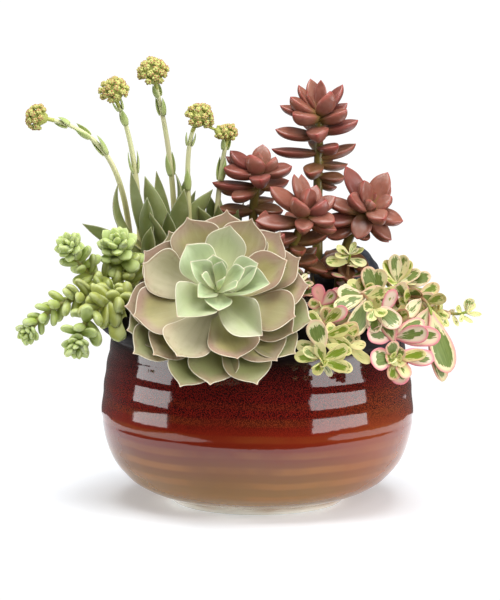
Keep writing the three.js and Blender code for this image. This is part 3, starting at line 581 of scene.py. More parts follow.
waxy = Finish(
    "echeveria_leaf", Subsurface_Weight=0.3, Subsurface_Scale=0.006, Subsurface_Radius=(1, 1, 0.85)
)
along, across, age, chance, inset = leaf_values(waxy)
cloudy = waxy.cloud(38.0)
fine = waxy.cloud(260.0, 4.0)
fibre = streaks(waxy, along, across, chance, 9.0, 2.5)
old = age.step(0.3, 0.62)
outer = coats(
    (162, 138, 120),
    (inset.step(2.5, 11.0), (168, 158, 104)),
    (chance.step(0.1, 0.6) * 0.45, (136, 120, 88)),
    # Paler leaf bases: partly their own colour, partly painted light for the glow through the leaves and the
    # light bounced between them.
    (along.step(0.6, 0.2), (196, 194, 142)),
    # Two leaves made paler, partly their own tone and partly painted light where they face the lamps.
    (chance.step(0.8, 1.0), (182, 174, 144)),
)
waxy.wear("Base Color", coats(
    (220, 226, 184),
    (along.step(0.05, 0.8), (174, 190, 148)),
    (old, outer),
    (cloudy.step(0.42, 0.7) * old * 0.4, (136, 134, 88)),
    (fibre.step(0.45, 0.75) * 0.16, (196, 190, 160)),
    (fibre.step(0.5, 0.25) * 0.16, (120, 114, 80)),
    (age.step(0.86, 1.0) * 0.7, (136, 146, 94)),
    (cloudy.step(0.6, 0.38) * inset.step(9.0, 1.0) * along.step(0.35, 0.8) * old * 0.4, (164, 124, 110)),
    (fine.step(0.56, 0.66) * inset.step(12.0, 1.0) * along.step(0.4, 0.8) * old * 0.3, (128, 92, 72)),
    (inset.step(2.4, 1.0) * old * cloudy.step(0.35, 0.55) * 0.35, (138, 98, 78)),
    (inset.step(0.8, 0.25) * 0.75, (224, 214, 184)),
    (along.step(0.965, 0.99) * 0.5, (196, 148, 118)),
    (age.step(-0.2, -0.5), (178, 188, 132)),
))
waxy.wear("Roughness", 0.36 + cloudy * 0.2)
waxy.bump(fine, 0.1, 0.001)
settle(rosette, waxy, "echeveria", "echeveria_rosette")

# ---- the crassula ----
# Tufts of stiff keeled grey-green leaves with silvery edges, and five flower stalks with clasping pairs
# of small leaves. Each stalk ends in a dome of tight yellow-green buds with red tips.

LANCE = [(0, 0.6, 0.8), (0.15, 0.78, 1), (0.35, 0.95, 1), (0.52, 1, 0.95), (0.68, 0.86, 0.85),
         (0.82, 0.58, 0.65), (0.93, 0.24, 0.35), (1, 0.03, 0.08)]
# foot and top of the short stem, then each leaf's height on it, its tip, width, bow in degrees, and the
# turn of its upper side from the front
CRASSULA_TUFTS = [
    ((-82, 12, 136), 190, [
        (184, -102, 5, 236, 10, 100, 62), (189, -93, 4, 245, 10, 20, 25),
        (186, -81, 1, 226, 11.5, 20, 172), (180, -129, 2, 206, 11, 14, 4),
        (176, -78, -12, 206, 11, 26, 165), (166, -104, 24, 202, 10, 40, 340),
        (170, -70, 34, 212, 12, 26, 10),
    ]),
    ((-64, 38, 137), 190, [
        (180, -83, 18, 239, 15.5, 26, 176), (188, -61, 24, 241, 11, 52, 292),
        (178, -54, 20, 229, 15, 20, 186), (174, -79, -2, 215, 11.5, 18, 162),
        (176, -75, 50, 238, 11, 20, 10), (188, -33, 38, 226, 12.5, 12, 182),
        (172, -46, 58, 222, 11, 26, 20), (166, -86, 66, 212, 11, 26, 350), (170, -66, 8, 214, 13, 22, 180),
        (178, -52, 46, 236, 9, 18, 10),
    ]),
    ((-28, 56, 137), 190, [
        (182, -44, 32, 214, 12, 18, 178), (178, -29, 28, 216, 12, 16, 185),
        (176, -14, 32, 212, 12, 22, 190), (178, -36, 44, 222, 11, 18, 175),
        (172, -10, 64, 212, 11, 26, 20), (172, -28, 78, 214, 11, 26, 5), (166, -52, 76, 206, 11, 26, 340),
        (164, -4, 84, 196, 11, 26, 20),
    ]),
    ((-44, 84, 136), 172, [
        (160, -70, 98, 196, 10, 26, 330), (158, -40, 108, 204, 10, 26, 0),
        (156, -22, 104, 190, 10, 26, 30), (162, -54, 92, 216, 10, 26, 350),
        (164, -46, 74, 206, 11, 22, 180),
    ]),
]

grey_green = Finish("crassula_leaf", Roughness=0.5, Subsurface_Weight=0.06, Subsurface_Scale=0.003)
along, _, age, chance, inset = leaf_values(grey_green)
grey_green.wear("Base Color", coats(
    (138, 136, 74),
    (along.step(0.0, 0.5), (120, 128, 74)),
    (grey_green.cloud(70.0).step(0.4, 0.75) * 0.6, (150, 158, 112)),
    (chance.step(0.45, 0.95) * 0.7, (84, 94, 42)),
    (inset.step(0.75, 0.2) * 0.45, (186, 188, 156)),
    (age.step(-0.2, -0.5), (124, 104, 72)),
))
grey_green.bump(grey_green.cloud(400.0), 0.12, 0.001)

for number, (foot, top, leaves) in enumerate(CRASSULA_TUFTS, 1):
    x, y, _ = foot
    skins = [stem_skin(np.linspace(foot, (x, y, top), 8), (5, 4.2), 12)]
    for index, (height, *tip, width, curl, facing) in enumerate(leaves):
        turned = math.radians(facing)
        face = np.array((math.sin(turned), -math.cos(turned), 0.25))
        skins.append(leaf_skin(
            np.array((x, y, height), float), np.array(tip, float), face, width, 4.2, LANCE, rows=20, sides=16,
            curl=curl, cup=0.12, fold=0.12, top=0.45, twist=jitter(index, number) * 0.3,
            chance=jitter(index, number + 20) + 0.5,
        ))
    settle(plant(f"crassula_leaves_{number}", skins), grey_green, "crassula_leaf", f"crassula_tuft_{number}")

STALKS = [
    ([(-92, 30, 136), (-92, 20, 232), (-104, 6, 272), (-152, -2, 284)], (0.62, 0.76, 0.9)),
    ([(-88, 46, 136), (-84, 34, 225), (-93, 28, 270), (-103, 25, 292)], (0.5, 0.8, 0.93)),
    ([(-62, 56, 136), (-58, 46, 225), (-68, 38, 275), (-75, 35, 304)], (0.46, 0.78, 0.91)),
    ([(-46, 40, 136), (-51, 35, 215), (-55, 33, 252), (-47, 29, 273)], (0.5, 0.82)),
    ([(-36, 40, 136), (-30, 38, 215), (-27, 38, 245), (-23, 38, 261)], (0.6, 0.9)),
]
# the way each dome of buds faces, its radius, and where a side cluster hangs from it
HEADS = [
    ((-0.97, -0.1, 0.2), 10, None), ((-0.2, -0.3, 0.93), 11.2, None), ((-0.15, -0.3, 0.95), 12, None),
    ((0.45, -0.25, 0.86), 11, ((15, 0, -3), 5.5)), ((0.2, -0.25, 0.95), 7.5, None),
]
CLASP = [(0, 0.75, 0.9), (0.25, 1, 1), (0.5, 0.86, 0.9), (0.75, 0.5, 0.6), (0.92, 0.18, 0.3), (1, 0.03, 0.08)]
BUD = [(0, 0.45, 0.45), (0.35, 0.95, 0.95), (0.7, 0.9, 0.9), (1, 0.3, 0.3)]
BRACT_LENGTHS = (18, 10.5)  # of the lowest and of the highest pair
BUD_WIDTH = 2.7
GOLDEN_ANGLE = 137.508
GOLDEN = math.radians(GOLDEN_ANGLE)


def around(tangent):
    """Two directions square to a stem: to the front, or up on one that points there, and to the right."""
    upright = abs(tangent[1]) < 0.8
    first = np.array((0, -1, 0) if upright else (0, 0, 1), float)
    first = unit(first - tangent * np.dot(first, tangent))
    second = np.cross(tangent, first)
    return first, second if upright else -second


def tangent_at(path, share):
    ends = bezier(path, [share - 0.002, share + 0.002])
    return unit(ends[1] - ends[0])


pale_stalk = Finish("crassula_stalk", Roughness=0.5)
along, _, age, _, inset = leaf_values(pale_stalk)
streak = pale_stalk.cloud(45.0, 2.0)
bract = coats(
    (184, 196, 128), (along.step(0.0, 0.8), (152, 170, 96)), (inset.step(0.7, 0.3) * 0.4, (196, 202, 156)),
)
pale_stalk.wear("Base Color", coats(
    (188, 178, 116),
    (along.step(0.1, 0.7), (210, 212, 160)),
    (streak.step(0.45, 0.7) * 0.4, (216, 204, 174)),
    (age.step(-0.5, -0.2), bract),
))
pale_stalk.bump(streak, 0.1, 0.001)

for number, (path, nodes) in enumerate(STALKS):
    skins = [stem_skin(bezier(path, np.linspace(0, 1, 40)), (2.4, 1.5), 12)]
    for level, share in enumerate(nodes):
        tangent = tangent_at(path, share)
        front, flank = around(tangent)
        low, high = BRACT_LENGTHS
        length = low + (high - low) * level / (len(nodes) - 1)
        for end in (0, 180):
            angle = math.radians(end + 60 + level * 90 + number * 40)
            outward = front * math.cos(angle) + flank * math.sin(angle)
            base = bezier(path, share)[0] + outward * 1.75
            tip = base + tangent * length * 0.96 + outward * 1.5
            skins.append(leaf_skin(base, tip, -outward, 5.6, 2.2, CLASP, 14, 16, curl=18, cup=0.2))
    stalk = plant(f"flower_stalk_{number + 1}", skins)
    settle(stalk, pale_stalk, "crassula_stalk", f"crassula_stalk_{number + 1}")

bud_skin = Finish("crassula_bud", Roughness=0.6)
along, _, age, chance, _ = leaf_values(bud_skin)
bud_skin.wear("Base Color", coats(
    (162, 172, 80),
    (along.step(0.1, 0.7), (188, 188, 110)),
    (along.step(0.8, 0.97) * chance.step(0.2, 0.5) * 0.85, (160, 78, 60)),
    (age.step(-0.2, -0.5), (172, 176, 92)),
))
bud_skin.bump(bud_skin.cloud(900.0, 2.0), 0.15, 0.0006)


def bud_dome(foot, axis, radius, clusters, draw):
    """A dome of bud clusters on short twigs that fan out from one foot."""
    first, second = around(axis)
    middle = foot + axis * radius * 0.7
    core = radius * 1.25
    skins = [leaf_skin(foot, middle + axis * radius * 0.6, first, core, core, BUD, 8, 10, top=1, age=-1)]
    for i in range(clusters):
        polar = math.acos(1 - 1.4 * (i + 0.5) / clusters)
        turn = i * GOLDEN
        outward = (
            axis * math.cos(polar)
            + first * math.sin(polar) * math.cos(turn)
            + second * math.sin(polar) * math.sin(turn)
        )
        seat = middle + outward * radius * draw.uniform(0.62, 0.78)
        skins.append(stem_skin(np.linspace(foot, seat, 4), (0.7, 0.6), 5))
        one, other = around(outward)
        for k in range(6):  # five buds round one
            lean = 0.75 if k else 0.0
            spin = k * 2 * math.pi / 5 + i
            toward = unit(outward + lean * (one * math.cos(spin) + other * math.sin(spin)))
            end = seat + toward * (radius * 0.3 + draw.uniform(0.0, 0.5))
            chance = draw.uniform(0, 1)
            skins.append(leaf_skin(
                seat + toward * 0.2, end, one + 0.01, BUD_WIDTH, BUD_WIDTH, BUD, 5, 6, top=1, chance=chance
            ))
    return skins


draw = np.random.default_rng(11)
for number, (facing, radius, side) in enumerate(HEADS):
    path = STALKS[number][0]
    end, onward = np.array(path[-1], float), tangent_at(path, 1)
    foot = end + onward * 2.2
    axis = unit(np.array(facing))
    skins = bud_dome(foot, axis, radius, int(radius * 2.6), draw)
    turn_in = [end - onward * 3, end + onward * 2, foot, foot + axis * radius * 0.5]
    skins.append(stem_skin(bezier(turn_in, np.linspace(0, 1, 10)), (1.6, 1.5), 10))
    if side:
        end = foot + np.array(side[0])
        start = foot + axis * radius * 0.35
        skins.append(stem_skin(np.linspace(start, end, 6), (1.2, 1.0), 8))
        skins += bud_dome(end, unit(end - start), side[1], 13, draw)
    settle(plant(f"flower_buds_{number + 1}", skins), bud_skin, "crassula_bud", f"crassula_buds_{number + 1}")

# ---- the red sedum ----
# Upright branching shoots with plump pointed leaves, satin and brownish red, redder at the edges and
# tips and yellow green where they join the olive stem.

PLUMP_POINT = [
    (0, 0.4, 0.46), (0.1, 0.56, 0.66), (0.28, 0.84, 0.9), (0.48, 0.99, 1), (0.64, 0.98, 0.98),
    (0.76, 0.84, 0.86), (0.86, 0.6, 0.66), (0.93, 0.34, 0.42), (0.975, 0.13, 0.2), (1, 0.02, 0.05),
]
# path, the way the upper sides face, and the leaves: share of the path, right, back and up to the tip, width
RED_SHOOTS = [
    ([(45, 46, 138), (44, 46, 200), (45, 50, 240), (46, 48, 280)], (0, -0.3, 1), [
        (1, -7, 8, 26, 13), (1, 1, 3, 26, 9.5), (1, -16, 2, 22, 10), (1, -9.5, -3, 17.5, 6),
        (1, 17.5, 4, 22, 11.5), (1, -22, -9, 14.5, 14.5), (1, 8, -14, 19.5, 16.5), (1, -29.5, -2, 7, 11),
        (0.99, -20, -19, 4, 15.5), (0.97, 20.5, -13, 9, 14), (0.97, 21, 8, 11, 11), (0.9, 29, -5, 8.5, 13),
        (0.92, -2, -20, -3, 17), (0.87, -32.5, -4, 5, 12.5), (0.8, 14, -18, 3, 12.5),
        (0.74, 28, 4, 9, 11.5), (0.77, -35, 0, 2, 11), (0.7, -7, -20, -5, 15), (0.63, 20, -4, -1, 12),
        (0.6, 14, 6, -6, 10), (0.97, 4, 20, 16, 12), (0.9, -12, 22, 8, 12), (0.88, 12, 22, 6, 12),
        (0.8, -4, 26, 2, 11), (0.72, 10, 24, 0, 11), (0.7, 22, 10, -2, 10),
    ]),
    ([(10, 42, 138), (-2, 46, 180), (-8, 44, 205), (2, 38, 238)], (0, -0.35, 1), [
        (1, -22.5, -3, 17, 13.5), (1, 2, 7, 20.5, 14.5), (1, -1.7, 2, 15.5, 7), (1, -6.7, -14, 15.6, 16),
        (1, 12, -7, 13, 12), (1, 23.7, -5, 5.5, 14), (1, -27, -10, 5, 15), (0.98, 1, -20, -1, 16),
        (1, -25.5, 8, 11, 11), (0.87, -18, -15, -4, 13.5), (0.9, -28, 1, -3, 13), (0.9, -33, -6, 3, 12),
        (0.9, 24, 4, 3, 12.5), (0.7, -26, -6, 2, 13.5), (0.72, 22, -4, -2, 14), (0.95, 8, 22, 10, 12),
        (0.95, -10, 20, 12, 12), (0.85, 4, 26, 2, 12), (0.7, 0, 26, 0, 12), (0.78, 14, 20, -2, 12),
        (0.6, 24, 10, -4, 13), (0.55, -22, 12, -2, 12),
    ]),
    ([(24, 12, 138), (22, 14, 172), (24, 4, 192), (37, -4, 214)], (0.1, -0.45, 0.9), [
        (1, -10.5, 2, 29.5, 10), (1, -5, 8, 28.5, 11), (1, 1, -9, 20.5, 15), (1, 6.5, 10, 20, 13),
        (1, -28, -3, 20.5, 15), (1, -10, -17, 14, 16), (1, 13.5, -11, 12, 16), (1, 20.5, 0, 13, 13.5),
        (1, 19.5, -16, -3.5, 15), (0.97, -3, -21, -7, 14), (0.9, -35, -6, 2, 14), (0.95, 23, -7, -8, 14),
        (0.62, 6, -14, -3, 12), (0.97, 0, 20, 14, 12), (0.95, 16, 16, 8, 12), (0.9, -12, 20, 4, 12),
        (0.8, 6, 24, 0, 12), (0.75, -22, -8, -4, 13), (0.66, 26, 6, 7, 13), (0.55, 26, -6, -14, 14),
        (0.46, 20, -14, 3, 13), (0.4, 20, 10, 12, 12), (0.34, 14, -17, -10, 13), (0.6, -18, 12, 0, 12),
    ]),
    ([(60, 20, 138), (60, 26, 172), (64, 16, 196), (82, 4, 216)], (0.2, -0.6, 0.8), [
        (1, -17.5, 2, 32, 14.5), (1, -4, -9, 23.5, 13), (1, 14, 6, 27, 16.5), (1, 17, -5, 10.5, 13),
        (1, 1, -13, 9, 9.5), (1, 5, 0, 13, 5), (1, -14.5, -15, 13, 15), (1, 11, -20, -4, 15.5),
        (1, 25, -5, -8, 15), (0.97, -7.5, -13, -18, 15.5), (0.96, 18.5, -4, -20, 13.5),
        (0.95, 17, 2, -22, 12), (1, 16, 10, 17, 12), (0.95, -31, 2, 11, 12.5), (0.9, -31, -2, -3, 13.5),
        (0.82, -22, -4, -10, 13.5), (0.75, 12, -6, -6, 10), (0.97, 4, 20, 8, 12), (0.92, 18, 16, -2, 12),
        (0.9, -14, 20, 0, 12), (0.85, 2, 22, -12, 12), (0.55, 16, -15, -17, 13), (0.5, -18, -12, -11, 13),
        (0.42, 5, -20, -13, 13), (0.3, -16, -16, 4, 12), (0.45, -12, 24, 0, 12),
    ]),
    ([(-8, 8, 136), (-10, 8, 160), (-6, 4, 180), (2, -4, 194)], (0, -0.4, 1), [
        (0.5, -26, -6, 4, 13), (0.56, 14, 22, 2, 13), (0.62, 20, 8, 13, 13), (0.7, -16, 22, 4, 13),
        (0.76, 22, -8, -8, 14), (0.84, -22, -16, 6, 13), (0.88, 8, 24, 8, 13), (0.92, 20, -12, 10, 13),
        (0.95, -20, 10, 14, 13), (0.98, 14, 14, 18, 12), (1, -8, -12, 18, 12), (1, 4, 6, 22, 11),
        (0.4, 22, -10, -9, 13), (0.3, 18, 8, 8, 13), (0.5, 18, -17, -2, 13), (0.35, 12, 22, 2, 13),
    ]),
]


def age_at(share):
    """A leaf's age by its place on a shoot: 1 on the lower stem, 0 at the end."""
    return 1 - max(0.0, min(1.0, (share - 0.4) / 0.6))


def set_leaves(path, axis, leaves, outline, thick, rows, sides, seed, blush=None, **shape):
    """Leaves set one by one. Their upper sides face along the axis, and inward where they stand up."""
    axis = unit(np.array(axis, float))
    skins = []
    for index, (share, right, back, up, width) in enumerate(leaves):
        base = bezier(path, share)[0]
        reach = np.array((right, back, up), float)
        spread = reach - axis * np.dot(reach, axis)
        chance = jitter(index, seed * 3) + 0.5
        age = age_at(share)
        if blush is not None:
            age = max(0, blush + jitter(index, seed * 7) * 0.3) * min(1, max(0.1, (width - 6) / 7))
            chance = chance * 0.5 + (0.5 if width < 10.5 else 0)
        skins.append(leaf_skin(
            base, base + reach, axis - 0.8 * unit(spread), width, thick * width, outline, rows, sides,
            twist=jitter(index, seed) * 0.5, age=age, chance=chance, **shape,
        ))
    return skins


satin = Finish("red_sedum_leaf", Subsurface_Weight=0.05, Subsurface_Scale=0.003)
along, across, age, chance, inset = leaf_values(satin)
cloudy = satin.cloud(60.0)
fibre = streaks(satin, along, across, chance, 5.0, 3.0)
satin.wear("Base Color", coats(
    (138, 118, 60),
    (along.step(0.05, 0.5), (136, 83, 67)),
    (cloudy.step(0.42, 0.7) * 0.5, (146, 108, 92)),
    (age.step(0.15, 0.6) * 0.8, (108, 78, 44)),
    (chance.step(0.5, 1.0) * 0.6, (118, 58, 56)),
    (fibre.step(0.5, 0.75) * 0.35, (162, 122, 114)),
    (satin.cloud(190.0, 4.0).step(0.5, 0.68) * 0.4, (104, 58, 46)),
    (inset.step(0.9, 0.1) * along.step(0.2, 0.8) * 0.4, (176, 92, 82)),
    (along.step(0.92, 1.0) * 0.6, (150, 52, 48)),
    (age.step(-0.2, -0.5), (112, 98, 46)),
))
satin.wear("Roughness", 0.24 + cloudy * 0.16)
satin.bump(satin.cloud(300.0), 0.12, 0.001)

for number, (path, axis, leaves) in enumerate(RED_SHOOTS, 1):
    skins = [stem_skin(bezier(path, np.linspace(0, 1, 30)), (4.2, 3), 12)]
    skins += set_leaves(
        path, axis, leaves, PLUMP_POINT, 0.9, 22, 20, number * 9, curl=16, fold=0.32, top=0.45, edge=1.25,
        tip_bend=0.7,
    )
    settle(plant(f"red_sedum_{number}", skins), satin, "red_sedum", f"red_sedum_shoot_{number}")

# ---- the donkey's tail ----
# Trailing stems hidden in overlapping plump leaves like beads, light green with a powdery bloom, that
# spill over the collar on the left.

BEAD = [(0, 0.4, 0.4), (0.12, 0.62, 0.66), (0.3, 0.86, 0.92), (0.55, 1, 1), (0.76, 0.96, 0.92),
        (0.9, 0.7, 0.66), (0.965, 0.38, 0.36), (1, 0.06, 0.08)]
STAR_LEAF = [(0, 0.4, 0.5), (0.2, 0.72, 0.85), (0.42, 0.97, 1), (0.62, 1, 0.95), (0.78, 0.82, 0.74),
             (0.9, 0.5, 0.46), (0.96, 0.24, 0.24), (1, 0.04, 0.06)]


def shoot_skins(path, radii, leaves, outline, wide, thick, rows, sides, seed, **shape):
    """A stem with its leaves: how far along it, turn round it, rise above square to it, and length."""
    skins = [stem_skin(bezier(path, np.linspace(0, 1, 30)), radii, 12)]
    for index, (share, turn, rise, length) in enumerate(leaves):
        tangent = tangent_at(path, share)
        first, second = around(tangent)
        outward = first * math.cos(math.radians(turn)) + second * math.sin(math.radians(turn))
        base = bezier(path, share)[0]
        lift = math.radians(rise)
        tip = base + outward * length * math.cos(lift) + tangent * length * math.sin(lift)
        skins.append(leaf_skin(
            base, tip, tangent - outward * 0.01, length * wide, max(length * thick, 1.2), outline, rows,
            sides, twist=jitter(index, seed + 3) * 0.3, age=age_at(share), chance=jitter(index, seed) + 0.5,
            **shape,
        ))
    return skins


def leaf_rows(seed, count, first, start, length, rise, bend, shrink, pairs=False):
    """Leaves by rule from the lowest to the heart: by the golden angle, or in crossed pairs."""
    rows = []
    for i in range(count):
        step = i // 2 if pairs else i
        share = step / (math.ceil(count / 2) - 1 if pairs else count - 1)
        turn = start + step * 90 + (i % 2) * 180 if pairs else start + i * GOLDEN_ANGLE
        rows.append((
            1 + (first - 1) * (1 - share),
            turn + jitter(seed, i) * 16,
            rise[0] + (rise[1] - rise[0]) * share**bend + jitter(seed + 1, i) * 10,
            (length[0] + (length[1] - length[0]) * share**shrink) * (1 + jitter(seed + 2, i) * 0.16),
        ))
    return rows


# path, turn of the first leaf, length of the lowest and of the last leaves by rule, their count, seed,
# the way the head of young leaves faces, its radius, and leaves set one by one
DONKEY_SHOOTS = [
    ([(-90, -6, 134), (-98, -8, 168), (-124, -16, 160), (-138, -26, 194)],
     0, (17, 12), 20, 31, (-0.35, -0.75, 0.5), 12.5, [
        (0.86, 9, -6, 12, 7.5), (0.8, 14, -4, 8, 7.5), (0.7, -12, -8, -6, 8), (0.62, 12, -10, -4, 8),
    ]),
    ([(-86, 2, 134), (-92, -2, 160), (-98, -8, 178), (-103, -16, 194)],
     40, (18, 13), 16, 37, (-0.1, -0.7, 0.7), 16.5, [
        (0.8, 12, -14, -8, 11), (0.8, 20, -4, -2, 10), (0.7, -10, -12, -8, 9), (0.85, -14, -10, -4, 8),
    ]),
    ([(-86, -30, 134), (-96, -32, 170), (-142, -42, 166), (-168, -48, 134)],
     15, (15.5, 11), 34, 41, (-0.6, -0.75, -0.25), 10.5, [
        (0.3, -14, -10, 12, 11), (0.2, -6, -12, 18, 11), (0.5, -12, -6, 12, 8.5), (0.6, -8, -8, 10, 8),
    ]),
    ([(-82, -42, 134), (-94, -46, 170), (-126, -62, 160), (-131, -76, 128)],
     80, (19, 12), 14, 43, (-0.1, -0.85, -0.5), 12.5, [
        (0.5, -15, -14, 5, 11), (0.6, -15, -14, -2, 11), (0.5, 7, -14, -15, 12), (0.78, 9, -10, -17, 10.5),
        (0.3, -13, -8, 9, 12), (0.22, -10, -8, 16, 11), (0.4, 4, -14, -5, 9), (0.8, 2, -14, 14, 9),
        (0.9, -14, -8, 6, 7.5), (0.9, 12, -8, 2, 8), (0.35, 8, -16, 8, 10), (0.4, 2, -21, -25, 15),
    ]),
]

powdery = Finish(
    "donkey_tail_leaf", Roughness=0.55, Subsurface_Weight=0.4, Subsurface_Scale=0.006,
    Subsurface_Radius=(1, 1, 0.4),
)
along, _, age, chance, inset = leaf_values(powdery)
powdery.wear("Base Color", coats(
    (150, 168, 66),
    (along.step(0.1, 0.9), (172, 188, 118)),
    (age.step(0.2, 0.8) * 0.75, (162, 164, 72)),
    (powdery.cloud(90.0).step(0.45, 0.75) * 0.45, (190, 200, 150)),
    (chance.step(0.7, 0.95) * age.step(0.1, 0.5) * 0.8, (108, 120, 36)),
    (inset.step(0.9, 0.1) * 0.3, (200, 208, 164)),
    (age.step(-0.2, -0.5), (148, 146, 80)),
))
powdery.bump(powdery.cloud(350.0), 0.1, 0.001)


def bead_head(centre, facing, radius, count, seed):
    """The rosette of young leaves at the end of a shoot, the smallest in the middle."""
    axis = unit(np.array(facing, float))
    first, second = around(axis)
    skins = []
    for i in range(count):
        share = i / (count - 1)
        polar = math.radians(92 * (1 - share) ** 0.8 + 8 + jitter(i, seed) * 12)
        turn = i * GOLDEN + seed
        outward = first * math.cos(turn) + second * math.sin(turn)
        reach = radius * (1 - 0.34 * share) * (1 + jitter(i, seed + 1) * 0.16)
        tip = centre + (axis * math.cos(polar) + outward * math.sin(polar)) * reach
        base = centre - axis * radius * 0.35 * (1 - share) + outward * radius * 0.06
        size = np.linalg.norm(tip - base)
        skins.append(leaf_skin(
            base, tip, axis - 0.8 * outward, size * (0.72 - 0.2 * share), size * 0.46, STAR_LEAF, 14, 14,
            curl=14, fold=0.1, top=0.6, age=0, chance=jitter(i, seed + 2) * 0.7 + 0.35,
        ))
    return skins


for number, shoot in enumerate(DONKEY_SHOOTS, 1):
    path, start, length, count, seed, facing, radius, leaves = shoot
    rows = leaf_rows(seed, count, 0.3, start, length, (26, 50), 3, 1.5)
    skins = shoot_skins(path, (2.6, 2), rows, BEAD, 0.58, 0.48, 14, 16, seed, curl=12, cup=0.04, top=0.7)
    skins += set_leaves(path, facing, leaves, BEAD, 0.8, 16, 16, number, curl=20, cup=0.04, top=0.7)
    skins += bead_head(np.array(path[-1], float), facing, radius, 17, number)
    settle(plant(f"donkey_tail_{number}", skins), powdery, "donkey_tail", f"donkey_tail_shoot_{number}")

# ---- the variegated stonecrop ----
# Thin reddish stems with flat spoon-shaped leaves in crossed pairs: a feathery green middle, a broad
# cream margin and a pink edge. They fill the right and spill over the collar there.

PADDLE = [(0, 0.2, 0.6), (0.1, 0.32, 0.8), (0.24, 0.62, 1), (0.42, 0.9, 1), (0.6, 1, 1), (0.76, 0.97, 0.95),
          (0.88, 0.8, 0.85), (0.96, 0.5, 0.6), (1, 0.16, 0.3)]
